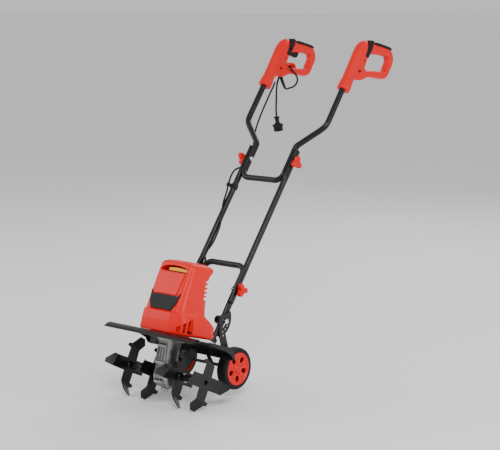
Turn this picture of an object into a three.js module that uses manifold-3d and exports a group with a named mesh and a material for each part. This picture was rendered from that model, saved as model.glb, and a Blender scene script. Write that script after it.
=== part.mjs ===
// Electric garden tiller, in millimetres, +Z up, front of the machine towards -Y.
import * as THREE from 'three';
import { mergeVertices } from 'three/addons/utils/BufferGeometryUtils.js';
import Module from 'manifold-3d';

const wasm = await Module();
wasm.setup();

// Driving dimensions.
const GAP = 0.3;
const HEAD_TILT = THREE.MathUtils.degToRad(16);
const SHAFT_Y = -8;
const SHAFT_Z = 113;
const ORIGIN_SHIFT = [0, -471.015, -13.605];
const TINE_X = { left: [60, 185], right: [56, 170] };
const TINE_PHASE = -26;
const TINE_BEND = THREE.MathUtils.degToRad(43);
const TINE_THICK = 4;
const SHAFT_RADIUS = 8;
const HUB_RADIUS = 12;
const WORM_OFFSET = -33;
const WORM_LEAD = 4.363;
const WORM_PITCH_RADIUS = 8;
const WHEEL_TEETH = 36;
const WHEEL_RADIUS = 75;
const WHEEL_RIM = 58;
const WHEEL_X = [107, 147];
const AXLE = [193, 114];
const AXLE_RADIUS = 6;
const CARRIER_PIVOT = [145, 293];
const LOCK_BOLT = [176, 282];
const SLOPE = 0.757;
const TUBE_RADIUS = 11;
const FLAT_HALF = 6.6;
const FLAT_WIDE = 13.4;
const LEG_X = 92.5;
const MID_X = 106.5;
const LOW_PIVOT_Z = 386;
const TOP_PIVOT_Z = 807;
const GRIP_X = 186;
const GUARD_HALF = 204;
const GUARD_THICK = 3;

// The handle plane: Y on the tubes' centre lines at a given height.
const planeY = (z) => 420 + SLOPE * (z - 639);
const LOW_PIVOT = [planeY(LOW_PIVOT_Z) + 8, LOW_PIVOT_Z];
const TOP_PIVOT = [planeY(TOP_PIVOT_Z), TOP_PIVOT_Z];
const CLIP = [MID_X, 471.7, 707.4];
const PLANE_NORMAL = new THREE.Vector3(0, 1, -SLOPE).normalize();

const red = new THREE.MeshStandardMaterial({ color: 0xd8201c, roughness: 0.4 });
const black = new THREE.MeshStandardMaterial({ color: 0x161616, roughness: 0.55 });
const steelBlack = new THREE.MeshStandardMaterial({ color: 0x1b1b1c, roughness: 0.4, metalness: 0.3 });
const rubber = new THREE.MeshStandardMaterial({ color: 0x1d1d1d, roughness: 0.85 });
const aluminium = new THREE.MeshStandardMaterial({ color: 0xa9aaa8, roughness: 0.5, metalness: 0.8 });
const zinc = new THREE.MeshStandardMaterial({ color: 0xc4c6c8, roughness: 0.3, metalness: 0.9 });
const brass = new THREE.MeshStandardMaterial({ color: 0xb08d3c, roughness: 0.4, metalness: 0.9 });
const grey = new THREE.MeshStandardMaterial({ color: 0x3a3c3e, roughness: 0.6 });
const yellow = new THREE.MeshStandardMaterial({ color: 0xe9b213, roughness: 0.4 });

// Solids.
function toSolid(geometry) {
  const bare = geometry.clone();
  bare.deleteAttribute('normal');
  bare.deleteAttribute('uv');
  const merged = mergeVertices(bare, 1e-4);
  return new wasm.Manifold(new wasm.Mesh({
    numProp: 3,
    vertProperties: new Float32Array(merged.attributes.position.array),
    triVerts: new Uint32Array(merged.index.array),
  }));
}

function toGeometry(solid) {
  const mesh = solid.getMesh();
  const geometry = new THREE.BufferGeometry();
  geometry.setAttribute('position', new THREE.BufferAttribute(new Float32Array(mesh.vertProperties), 3));
  geometry.setIndex(new THREE.BufferAttribute(new Uint32Array(mesh.triVerts), 1));
  const flat = geometry.toNonIndexed();
  flat.computeVertexNormals();
  return flat;
}

function union(first, ...rest) {
  return rest.reduce((sum, part) => sum.add(part), first);
}

function minus(first, ...rest) {
  return rest.reduce((left, part) => left.subtract(part), first);
}

// A closed solid through rings of points, with flat fans at both ends.
function loft(rings) {
  const count = rings[0].length;
  const points = rings.flat();
  const centre = (ring) => ring.reduce((sum, p) => sum.map((v, i) => v + p[i] / count), [0, 0, 0]);
  points.push(centre(rings[0]), centre(rings[rings.length - 1]));
  const faces = [];
  for (let r = 0; r < rings.length - 1; r += 1) {
    for (let i = 0; i < count; i += 1) {
      const j = (i + 1) % count;
      const a = r * count + i;
      const b = r * count + j;
      const c = (r + 1) * count + j;
      const d = (r + 1) * count + i;
      faces.push(a, b, c, a, c, d);
    }
  }
  const last = (rings.length - 1) * count;
  for (let i = 0; i < count; i += 1) {
    const j = (i + 1) % count;
    faces.push(points.length - 2, j, i);
    faces.push(points.length - 1, last + i, last + j);
  }
  const build = (order) => {
    const geometry = new THREE.BufferGeometry();
    geometry.setAttribute('position', new THREE.Float32BufferAttribute(points.flat(), 3));
    geometry.setIndex(order);
    return toSolid(geometry);
  };
  const solid = build(faces);
  if (solid.volume() > 0) return solid;
  const flipped = [];
  for (let i = 0; i < faces.length; i += 3) flipped.push(faces[i], faces[i + 2], faces[i + 1]);
  return build(flipped);
}

function box(x0, x1, y0, y1, z0, z1) {
  const geometry = new THREE.BoxGeometry(x1 - x0, y1 - y0, z1 - z0);
  geometry.translate((x0 + x1) / 2, (y0 + y1) / 2, (z0 + z1) / 2);
  return toSolid(geometry);
}

// A cylinder along X.
function rodX(radius, x0, x1, y = 0, z = 0, sides = 16) {
  const geometry = new THREE.CylinderGeometry(radius, radius, x1 - x0, sides);
  geometry.rotateZ(Math.PI / 2);
  geometry.translate((x0 + x1) / 2, y, z);
  return toSolid(geometry);
}

// A cylinder along Z.
function rodZ(radius, z0, z1, x = 0, y = 0, sides = 16) {
  const geometry = new THREE.CylinderGeometry(radius, radius, z1 - z0, sides);
  geometry.rotateX(Math.PI / 2);
  geometry.translate(x, y, (z0 + z1) / 2);
  return toSolid(geometry);
}

// A turned solid about X from a closed outline of [x, radius] pairs.
function turnedX(outline, sides = 24) {
  const points = outline.map(([x, r]) => new THREE.Vector2(r, x));
  points.push(points[0].clone());
  const geometry = new THREE.LatheGeometry(points, sides);
  geometry.rotateZ(-Math.PI / 2);
  const solid = toSolid(geometry);
  if (solid.volume() > 0) return solid;
  return toSolid(flip(geometry));
}

// A turned solid about Z from a closed outline of [z, radius] pairs.
function turnedZ(outline, sides = 20) {
  return turnedX(outline, sides).rotate([0, -90, 0]);
}

function flip(geometry) {
  const copy = geometry.clone();
  const index = Array.from(copy.index.array);
  for (let i = 0; i < index.length; i += 3) [index[i + 1], index[i + 2]] = [index[i + 2], index[i + 1]];
  copy.setIndex(index);
  return copy;
}

// A plate from an outline of [y, z] pairs, between two X positions.
function plateX(outline, x0, x1) {
  const shape = new THREE.Shape(outline.map(([y, z]) => new THREE.Vector2(y, z)));
  const options = { depth: x1 - x0, bevelEnabled: false, curveSegments: 8 };
  const geometry = new THREE.ExtrudeGeometry(shape, options);
  geometry.applyMatrix4(new THREE.Matrix4().set(0, 0, 1, x0, 1, 0, 0, 0, 0, 1, 0, 0, 0, 0, 0, 1));
  return toSolid(geometry);
}

// The same plate with bevelled edges, for moulded pieces, with room added all round for a seat.
function mouldedX(outline, x0, x1, bevel, room = 0) {
  const shape = new THREE.Shape(outline.map(([y, z]) => new THREE.Vector2(y, z)));
  const options = {
    depth: x1 - x0 - 2 * bevel + 2 * room,
    bevelEnabled: true,
    bevelThickness: bevel,
    bevelSize: bevel,
    bevelOffset: room - bevel,
    bevelSegments: 1,
  };
  const geometry = new THREE.ExtrudeGeometry(shape, options);
  const toX = new THREE.Matrix4().set(0, 0, 1, x0 + bevel - room, 1, 0, 0, 0, 0, 1, 0, 0, 0, 0, 0, 1);
  geometry.applyMatrix4(toX);
  return toSolid(geometry);
}

// A tube along points in a plane with normal n, with half sizes across and along n.
function bar(points, n, halves, sides = 12) {
  const rings = points.map((p, i) => {
    const before = points[Math.max(i - 1, 0)];
    const after = points[Math.min(i + 1, points.length - 1)];
    const tangent = after.clone().sub(before).normalize();
    const across = tangent.clone().cross(n).normalize();
    const [a, b] = halves[i];
    return Array.from({ length: sides }, (_, k) => {
      const t = (k + 0.5) / sides * Math.PI * 2;
      const q = p.clone().addScaledVector(across, a * Math.cos(t)).addScaledVector(n, b * Math.sin(t));
      return q.toArray();
    });
  });
  return loft(rings);
}

// A round lead along a curve.
function lead(points, radius, sides, steps) {
  const path = new THREE.CatmullRomCurve3(points.map((p) => new THREE.Vector3(...p)), false, 'centripetal');
  const outline = Array.from({ length: sides }, (_, i) => {
    const t = i / sides * Math.PI * 2;
    return new THREE.Vector2(radius * Math.cos(t), radius * Math.sin(t));
  });
  const geometry = new THREE.ExtrudeGeometry(new THREE.Shape(outline), { steps, extrudePath: path });
  const solid = toSolid(geometry);
  return solid.volume() > 0 ? solid : toSolid(flip(mergeVertices(geometry, 1e-4)));
}

const group = new THREE.Group();
group.name = 'tiller';

function addPiece(name, solid, material) {
  const mesh = new THREE.Mesh(toGeometry(solid.translate(ORIGIN_SHIFT)), material);
  mesh.name = name;
  group.add(mesh);
}

// The head leans back about the tine shaft. In its own frame Y runs back and Z runs up the motor.
function fromHead(solid) {
  return solid.rotate([-THREE.MathUtils.radToDeg(HEAD_TILT), 0, 0]).translate([0, SHAFT_Y, SHAFT_Z]);
}

function addHead(name, solid, material) {
  addPiece(name, fromHead(solid), material);
}

// A closed outline of a hood section: flat nose, ridges, flat sides and round rear corners.
function hoodRing(z, half, nose, rear, inset = 0) {
  const w = half - inset;
  const f = nose + inset;
  const b = rear - inset;
  const noseHalf = Math.min(68, w * 0.86) - inset * 0.4;
  const ridgeHalf = Math.min(76, w * 0.93) - inset * 0.6;
  const corner = Math.min(z < 190 ? 34 : 28, w * 0.5, (b - f) * 0.3);
  const right = [
    [0, f, z],
    [noseHalf * 0.5, f, z],
    [noseHalf, f, z],
    [ridgeHalf, f + 9, z],
    [ridgeHalf + (w - ridgeHalf) * 0.6, f + 9 + (b - f) * 0.12, z],
    [w, f + 9 + (b - f) * 0.34, z],
  ];
  for (let i = 0; i <= 3; i += 1) {
    const t = i / 3 * Math.PI / 2;
    right.push([w - corner + corner * Math.cos(t), b - corner + corner * Math.sin(t), z]);
  }
  right.push([0, b, z]);
  const left = right.slice(1, -1).reverse().map(([x, y, h]) => [-x, y, h]);
  return [...right, ...left];
}

const noseAt = (t) => -69 - 0.237 * (348 - t);

// Height, half width, nose and rear of each hood section.
const HOOD = [
  [142.6, 101.5, -110, 91],
  [145, 103.5, -112.5, 92.5],
  [152, 104, -113, 93],
  [184, 101, -112.5, 94],
  [197, 97.5, -111, 76.5],
  [212, 93, -109.5, 56],
  [217, 87, noseAt(217), 53],
  [232, 86, noseAt(232), 49],
  [262, 84, noseAt(262), 47],
  [300, 83, noseAt(300), 46],
  [341, 81, noseAt(341), 45],
  [356, 80, noseAt(356), 52],
  [369, 79, noseAt(369), 64],
  [378, 77, -63.5, 68],
  [385, 72, -58.5, 65],
  [391, 60, -47, 54],
  [394.5, 38, -26, 36],
];

function hood() {
  const outer = loft(HOOD.map(([t, w, f, b]) => hoodRing(t, w, f, b)));
  const inside = HOOD.slice(0, -1).map(([t, w, f, b], i) => {
    const deep = t > 225 && t < 345 ? 12 : 0;
    return hoodRing(i === 0 ? 130 : Math.min(t, 390), w, f, b - deep, 3.2);
  });
  const pocketWall = box(-63, 63, -110, -8, 345.5, 381);
  const hollow = minus(loft(inside), pocketWall, box(-90, 90, -120, -20, 382, 420));
  const pocket = mouldedX([[-120, 354], [-14, 349], [-14, 367], [-24, 377], [-120, 378]], -60, 60, 2);
  const slots = [];
  for (let i = 0; i < 5; i += 1) {
    const t = 273 + i * 14.5;
    slots.push(box(-95, -42, 16, 80, t, t + 8), box(42, 95, 16, 80, t, t + 8));
  }
  for (const side of [-1, 1]) {
    const rows = [[-84, 156, 16], [-62, 153, 30], [-38, 150, 46]];
    for (const [s, t, height] of rows) {
      const x = [side * 80, side * 120].sort((a, b) => a - b);
      slots.push(box(x[0], x[1], s, s + 12, t, t + height));
    }
  }
  return minus(outer, hollow, pocket, ...slots);
}

// A plate lying on the sloping nose, from an outline of [x, height] pairs.
function nosePlate(outline, thick, bevel) {
  const shape = new THREE.Shape(outline.map(([x, t]) => new THREE.Vector2(x, (t - 217) * 1.0277)));
  const options = {
    depth: thick - bevel,
    bevelEnabled: true,
    bevelThickness: bevel,
    bevelSize: bevel,
    bevelOffset: -bevel,
    bevelSegments: 1,
  };
  const solid = toSolid(new THREE.ExtrudeGeometry(shape, options));
  const back = box(-100, 100, -10, 300, -10, 0);
  const lean = THREE.MathUtils.radToDeg(Math.atan(0.237));
  return minus(solid, back).rotate([90 - lean, 0, 0]).translate([0, noseAt(217) - GAP, 217]);
}

function addCover() {
  addHead('hood', hood(), red);
  addHead('front_panel', nosePlate([[-48, 271], [48, 271], [56, 348], [-56, 348]], 4.5, 2.5), red);
  const wing = [[47, 218], [61, 244], [67.5, 282], [58, 268.5]];
  const insert = [...wing, ...wing.map(([x, t]) => [-x, t]).reverse()];
  addHead('front_insert', nosePlate(insert, 3.6, 1), grey);
  const strip = [];
  for (let i = 0; i <= 10; i += 1) {
    const k = i / 10;
    strip.push([-30 + 86 * k, 357 + 9 * Math.sin(Math.PI * (0.25 + 0.6 * k))]);
  }
  strip.push([56, 354.5], [-30, 354.5]);
  addHead('recess_strip', nosePlate(strip, 2.5, 0.6).translate([0, 9, 0]), yellow);
}

// Gear case, split on the machine's centre plane.
function gearCase() {
  const drum = turnedX([[-33, 0], [-33, 40], [-27, 48], [27, 48], [33, 40], [33, 0]], 28);
  const ring = (t, x, front, rear) => {
    const out = [];
    for (let i = 0; i < 16; i += 1) {
      const a = (i + 0.5) / 16 * Math.PI * 2;
      const c = Math.sign(Math.cos(a)) * Math.abs(Math.cos(a)) ** 0.45;
      const s = Math.sign(Math.sin(a)) * Math.abs(Math.sin(a)) ** 0.45;
      out.push([x * c, (front + rear) / 2 + (rear - front) / 2 * s, t]);
    }
    return out;
  };
  const levels = [[8, 28, -47, 18], [40, 27, -52, 14], [80, 26, -53, 12], [118, 30, -56, 18]];
  const column = loft(levels.map((level) => ring(...level)));
  const flange = loft([ring(116, 34, -60, 24), ring(126, 44, -68, 34), ring(137.6, 44, -68, 34)]);
  let body = union(drum, column, flange, rodX(25, -45, 45, 0, 0, 18));
  for (const x of [-17, -6, 6, 17]) body = body.add(box(x - 1.5, x + 1.5, -57, -30, 40, 118));
  for (const x of [-17, 17]) {
    const web = [[-50.5, 20], [-50.5, -8], [-42, -30], [-25, -45], [-20, -30], [-20, 20]];
    body = body.add(plateX(web, x - 1.5, x + 1.5));
  }
  const ears = [[-54, 36], [-46, -28], [-4, -53], [41, -30], [44, 20], [-60, 96], [18, 78]];
  for (const [y, z] of ears) body = body.add(rodX(7, -15, 15, y, z, 6));
  const wormRoom = union(rodZ(14, -26, 112, 0, WORM_OFFSET), rodZ(5.3, 90, 150, 0, WORM_OFFSET, 12));
  const inside = union(rodX(42, -23, 23, 0, 0, 20), wormRoom);
  return minus(body, inside, rodX(13, -60, 60, 0, 0, 20));
}

function addGearCase() {
  const body = gearCase();
  addHead('gear_case_left', minus(body, box(-0.15, 200, -200, 200, -200, 200)), aluminium);
  addHead('gear_case_right', minus(body, box(-200, 0.15, -200, 200, -200, 200)), aluminium);
  for (const [side, name] of [[-1, 'left'], [1, 'right']]) {
    const bush = turnedX([[28, 8.3], [28, 12.7], [45, 12.7], [45, 17], [48, 17], [48, 8.3]], 20);
    addHead(`shaft_bush_${name}`, side > 0 ? bush : bush.mirror([1, 0, 0]), rubber);
  }
}

// Worm wheel with teeth slanted to the worm's lead.
function wormWheel() {
  const ring = (x) => {
    const out = [];
    for (let i = 0; i < WHEEL_TEETH; i += 1) {
      const pitch = Math.PI * 2 / WHEEL_TEETH;
      const centre = Math.PI + (i + 0.5) * pitch + x * WORM_LEAD / (2 * Math.PI * WORM_PITCH_RADIUS * 25);
      const spots = [[-0.31, 23.1], [-0.13, 26], [0.13, 26], [0.31, 23.1]];
      for (const [k, r] of spots) {
        const a = centre + k * pitch;
        out.push([x, r * Math.cos(a), r * Math.sin(a)]);
      }
    }
    return out;
  };
  return minus(union(loft([ring(-4.5), ring(4.5)]), rodX(14, -22, 22, 0, 0, 12)), rodX(8.3, -30, 30));
}

// Motor shaft with rotor core, commutator and the worm at its lower end.
function armature() {
  const shaft = [[-24, 0], [-24, 5], [-21, 6.2], [21, 6.2], [24, 5], [162, 5], [162, 34], [166, 34],
    [166, 5], [190, 5],
     [190, 23.5], [246, 23.5], [246, 5], [256, 5], [256, 13], [274, 13], [274, 5], [296, 5], [296, 0]];
  const core = turnedZ(shaft, 12);
  const rings = [];
  const turns = 4;
  const steps = turns * 9;
  for (let i = 0; i <= steps; i += 1) {
    const a = Math.PI / 2 + (i / steps - 0.5) * turns * Math.PI * 2;
    const z = (i / steps - 0.5) * turns * WORM_LEAD;
    const tip = 6.4 + 2.8 * Math.min(1, i / 8, (steps - i) / 8);
    const corners = [[5, -1.25], [tip, -0.5], [tip, 0.5], [5, 1.25]];
    rings.push(corners.map(([r, h]) => [r * Math.cos(a), r * Math.sin(a), z + h]));
  }
  return union(core, loft(rings)).translate([0, WORM_OFFSET, 0]);
}

function motorCan() {
  const outline = [[142.9, 36], [142.9, 46], [148, 46], [150, 41], [288, 41], [293, 36], [293, 5.3],
    [289, 5.3],
    [289, 33], [284, 37.5], [247, 37.5], [247, 24.5], [189, 24.5], [189, 37.5], [160, 37.5], [150, 36]];
  return turnedZ(outline, 16).translate([0, WORM_OFFSET, 0]);
}

function addDrive() {
  addHead('motor_can', motorCan(), zinc);
  addHead('armature', armature(), zinc);
  addHead('worm_wheel', wormWheel(), brass);
}

// Curved cover over the tines.
function guard() {
  const top = [[-147.5, 126], [-141, 132.5], [-131, 138.5], [-121, 142.2], [-113, 141.6], [-106, 137.8],
    [20, 132.8],
    [58, 129.9], [70, 126.5], [79, 120.5], [86, 111], [97.5, 87]];
  const under = [];
  for (let i = 0; i < top.length; i += 1) {
    const [y0, z0] = top[Math.max(i - 1, 0)];
    const [y1, z1] = top[Math.min(i + 1, top.length - 1)];
    const length = Math.hypot(y1 - y0, z1 - z0);
    under.push([top[i][0] + (z1 - z0) / length * GUARD_THICK,
      top[i][1] - (y1 - y0) / length * GUARD_THICK]);
  }
  const sheet = plateX([...top, ...under.reverse()], -GUARD_HALF, GUARD_HALF);
  const lip = [[-60, 138], [20, 131.8], [58, 128.9], [70, 125], [79, 119.5], [85, 110.5], [95, 89],
    [88, 88],
    [72, 104], [40, 114], [0, 120], [-30, 127]];
  const lips = [-1, 1].map((side) => {
    const x = [side * (GUARD_HALF - 3), side * GUARD_HALF].sort((a, b) => a - b);
    return plateX(lip, x[0], x[1]);
  });
  const mouth = box(-47, 47, -73, 39, 100, 180);
  return minus(union(sheet, ...lips), mouth);
}

// Steel plate under the motor, with ears that hold the lower handle.
function framePlate() {
  let plate = union(box(-60, 60, -66, 108, 138.3, 142.3), box(-85.4, 85.4, 96.5, 112, 138.3, 142.3));
  const [s, t] = headCoords(FOOT);
  for (const side of [-1, 1]) {
    const x = [side * 81.4, side * 85.4].sort((a, b) => a - b);
    const ear = [[96.5, 138.3], [112, 138.3], [s + 10, t - 3], [s + 8, t + 7], [s + 1, t + 11],
      [s - 6, t + 8], [96, t]];
    plate = minus(plate.add(plateX(ear, x[0], x[1])), rodX(4.4, x[0] - 5, x[1] + 5, s, t, 16));
  }
  return minus(plate, rodZ(15, 130, 150, 0, WORM_OFFSET, 24));
}

// A point of the machine's side view in the head's own frame.
function headCoords([y, z]) {
  const c = Math.cos(HEAD_TILT);
  const k = Math.sin(HEAD_TILT);
  return [(y - SHAFT_Y) * c - (z - SHAFT_Z) * k, (y - SHAFT_Y) * k + (z - SHAFT_Z) * c];
}

function addChassis() {
  addHead('guard', guard(), black);
  addHead('frame_plate', framePlate(), steelBlack);
}

// One tine arm: a flat bar whose end is folded along the slanted line from p0 to p1. The end's outline
// counts from the fold outwards and from p0 along the fold.
function tineArm([p0, p1], tip, bend, hook = []) {
  const t = TINE_THICK / 2;
  const outline = [[0, -23], [0, 23], [58, 23.5], ...hook, p0, p1];
  const root = plateFrom([-t, t].map((x) => outline.map(([r, w]) => [x, r, w])));
  const along = new THREE.Vector3(0, p1[0] - p0[0], p1[1] - p0[1]).normalize();
  const out = new THREE.Vector3(0, -along.z, along.y);
  const away = out.clone().multiplyScalar(Math.cos(TINE_BEND));
  away.x = bend * Math.sin(TINE_BEND);
  const face = along.clone().cross(away).normalize();
  const rings = [-t, t].map((h) => tip.map(([d, w]) => {
    const p = new THREE.Vector3(0, ...p0);
    return p.addScaledVector(along, w).addScaledVector(away, d - 2).addScaledVector(face, h).toArray();
  }));
  return union(root, plateFrom(rings));
}

// Tine star: two opposite arms bend one way, the two between them bend the other way and carry a hook.
function tineStar() {
  const plain = tineArm([[86, 22], [69, -22]], [[0, 0], [31.4, -3.7], [34.8, 10.3], [16.3, 44.7],
    [0, 47.2]], 1);
  const hook = [[65, 41], [76, 33.5]];
  const tip = [[0, 0], [36.5, -4.5], [42.5, 14.5], [29, 39.5], [20, 41.5], [0, 46]];
  const hooked = tineArm([[76.5, 21], [60, -22]], tip, -1, hook);
  const star = [plain, hooked, plain, hooked].map((arm, i) => arm.rotate([i * 90, 0, 0])).reduce((a,
    b) => a.add(b));
  return minus(star, rodX(HUB_RADIUS + GAP, -10, 10, 0, 0, 20)).rotate([TINE_PHASE, 0, 0]);
}

// A thin plate between two matching outlines, cut into triangles so that notches stay open.
function plateFrom([low, high]) {
  const origin = new THREE.Vector3(...low[0]);
  const u = new THREE.Vector3(...low[1]).sub(origin).normalize();
  const n = new THREE.Vector3(...high[0]).sub(origin).normalize();
  const v = n.clone().cross(u);
  const flat = low.map((p) => {
    const d = new THREE.Vector3(...p).sub(origin);
    return new THREE.Vector2(d.dot(u), d.dot(v));
  });
  if (THREE.ShapeUtils.isClockWise(flat)) return plateFrom([low.slice().reverse(), high.slice().reverse()]);
  const faces = THREE.ShapeUtils.triangulateShape(flat, []);
  const count = low.length;
  const index = [];
  for (const [a, b, c] of faces) index.push(a, c, b, a + count, b + count, c + count);
  for (let i = 0; i < count; i += 1) {
    const j = (i + 1) % count;
    index.push(i, j, j + count, i, j + count, i + count);
  }
  const geometry = new THREE.BufferGeometry();
  geometry.setAttribute('position', new THREE.Float32BufferAttribute([...low, ...high].flat(), 3));
  geometry.setIndex(index);
  const solid = toSolid(geometry);
  return solid.volume() > 0 ? solid : toSolid(flip(geometry));
}

function addTines() {
  const along = (solid) => solid.translate([0, SHAFT_Y, SHAFT_Z]);
  const pinX = 74;
  const holes = [-1, 1].map((side) => rodZ(3.3, -40, 40, side * pinX, 0, 16));
  addPiece('tine_shaft', along(minus(rodX(SHAFT_RADIUS, -150, 150, 0, 0, 32), ...holes)), steelBlack);
  for (const [side, name] of [[-1, 'left'], [1, 'right']]) {
    const end = TINE_X[name][1] + 3;
    const outline = [[48.4, 8.3], [48.4, 16], [53, 16], [53, 12], [end, 12], [end, 8.3]];
    const tube = turnedX(outline, 20);
    const sleeve = minus(side > 0 ? tube : tube.mirror([1, 0, 0]), rodZ(3.3, -40, 40, side * pinX, 0, 16));
    addPiece(`hub_tube_${name}`, along(sleeve), steelBlack);
    const pin = union(rodZ(3, -17, 15, side * pinX, 0, 10), rodZ(5.5, 12.6, 16, side * pinX, 0, 12));
    const clip = toSolid(new THREE.TorusGeometry(6.5, 1.1, 5, 12)).translate([side * (pinX + 7.5), 0, -14]);
    addPiece(`hitch_pin_${name}`, along(union(pin, clip)), zinc);
    TINE_X[name].forEach((x, i) => {
      const label = i === 0 ? 'inner' : 'outer';
      const turned = (name === 'left') === (i === 0) ? tineStar() : tineStar().mirror([1, 0, 0]);
      addPiece(`tine_star_${label}_${name}`, along(turned.translate([side * x, 0, 0])), steelBlack);
    });
  }
}

// Frame tubes.
function handlePath(points, flats) {
  const path = points.map(([x, z, off = 0]) => new THREE.Vector3(x, planeY(z) + off, z));
  const halves = flats.map((f) => [THREE.MathUtils.lerp(TUBE_RADIUS, FLAT_HALF, f),
    THREE.MathUtils.lerp(TUBE_RADIUS, FLAT_WIDE, f)]);
  return bar(path, PLANE_NORMAL, halves);
}

// A half frame from its foot to the cross bar, then mirrored to a whole one.
function halfToWhole(points, flats) {
  const left = points.slice().reverse().map(([x, z, off]) => [-x, z, off]);
  return handlePath([...points, ...left], [...flats, ...flats.slice().reverse()]);
}

function bend(x0, z0, x1, z1, steps) {
  const out = [];
  for (let i = 0; i <= steps; i += 1) {
    const t = i / steps * Math.PI / 2;
    out.push([x1 + (x0 - x1) * Math.cos(t), z0 + (z1 - z0) * Math.sin(t)]);
  }
  return out;
}

// The lower legs stand a little behind the plane of the other tubes, further at the foot.
const legOffset = (z) => 16 + Math.max(0, LOW_PIVOT_Z - z) / 157 * 5;
const FOOT = [planeY(230) + legOffset(230), 230];

function lowerHandle() {
  const leg = [216, 219, 300, 386, 424].map((z) => [LEG_X, z, legOffset(z)]);
  const corner = bend(LEG_X, 430, 62, 457, 4).map(([x, z]) => [x, z, 16]);
  let frame = halfToWhole([...leg, ...corner], [0.7, 1, 1, 1, 1, 1, 0.6, 0.3, 0, 0]);
  for (const side of [-1, 1]) {
    const x = [side * (LEG_X - 3), side * (LEG_X + 2.5)].sort((a, b) => a - b);
    const lug = [[130, 293], [134, 303], [145, 308], [158, 304], [200, 312], [186, 278], [166, 262],
      [141, 279], [133, 284]];
    const stud = turnedX([[90, 0], [90, 5], [104.4, 5], [104.4, 9], [108, 9],
      [108, 0]], 12).translate([0, ...CARRIER_PIVOT]);
    frame = union(frame, plateX(lug, x[0], x[1]), side > 0 ? stud : stud.mirror([1, 0, 0]));
  }
  const cut = [FOOT, LOCK_BOLT, LOW_PIVOT].map((at) => rodX(4.4, -120, 120, ...at, 16));
  return minus(frame, ...cut);
}

function middleTube(side) {
  const ends = [[346, 1], [443, 1], [456, 0.5], [470, 0], [735, 0], [752, 0.35], [764, 1], [848, 1]];
  const tube = handlePath(ends.map(([z]) => [side * MID_X, z]), ends.map(([, f]) => f));
  const holes = [LOW_PIVOT, TOP_PIVOT].map((at) => rodX(4.4, -130, 130, ...at, 16));
  return minus(tube, ...holes);
}

function upperHandle() {
  const corner = bend(LEG_X, 770, 64, 744, 4).reverse();
  const run = [[LEG_X, 776], [LEG_X, 852], [94, 861], [100, 868], [110, 876], [166, 920], [177, 930],
    [184, 941], [GRIP_X, 954],
    [GRIP_X, 1100]];
  const points = [...corner, ...run];
  const flats = [0, 0, 0.3, 1, 1, 1, 1, 0.6, 0.2, 0, 0, 0, 0, 0, 0];
  const tube = halfToWhole(points.slice().reverse(), flats.slice().reverse());
  return minus(tube, rodX(4.4, -130, 130, ...TOP_PIVOT, 16));
}

// Pivot bolts stand out beyond the tubes and carry the knobs.
function pivotBolt(side, at) {
  const outline = [[82, 0], [82, 7.5], [85.3, 7.5], [85.3, 4], [131, 4], [131, 0]];
  const solid = turnedX(outline, 12);
  return (side > 0 ? solid : solid.mirror([1, 0, 0])).translate([0, ...at]);
}

// Three-lobed knob on the end of a pivot bolt.
function knob(side, at, turn) {
  let body = rodX(11, 114.5, 137, 0, 0, 18);
  for (let i = 0; i < 3; i += 1) {
    const lobe = union(rodX(9.5, 120, 135.5, 0, 19.5, 12), box(120, 135.5, -7.5, 7.5, 2, 19.5));
    body = body.add(lobe.rotate([i * 120 + turn, 0, 0]));
  }
  const solid = minus(body, rodX(4.3, 100, 132, 0, 0, 12));
  return (side > 0 ? solid : solid.mirror([1, 0, 0])).translate([0, ...at]);
}

function addFrame() {
  addPiece('lower_handle', lowerHandle(), steelBlack);
  addPiece('upper_handle', upperHandle(), steelBlack);
  for (const [side, name] of [[-1, 'left'], [1, 'right']]) {
    const face = (solid) => (side > 0 ? solid : solid.mirror([1, 0, 0]));
    addPiece(`middle_tube_${name}`, middleTube(side), steelBlack);
    const leg = turnedX([[77.2, 0], [77.2, 7], [81.1, 7], [81.1, 4], [99.6, 4], [99.6, 7], [104, 7],
      [104, 0]], 12);
    addPiece(`leg_bolt_${name}`, face(leg.translate([0, ...FOOT])), zinc);
    const lock = turnedX([[82, 0], [82, 7], [85.5, 7], [85.5, 4], [104.4, 4], [104.4, 9.2], [109, 8.2],
      [110, 6], [110, 0]], 12);
    addPiece(`lock_bolt_${name}`, face(lock.translate([0, ...LOCK_BOLT])), zinc);
    for (const [level, at, turn] of [['lower', LOW_PIVOT, 20], ['upper', TOP_PIVOT, side > 0 ? -15 : 40]]) {
      addPiece(`pivot_bolt_${level}_${name}`, pivotBolt(side, at), zinc);
      addPiece(`knob_${level}_${name}`, knob(side, at, turn), red);
    }
  }
}

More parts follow.
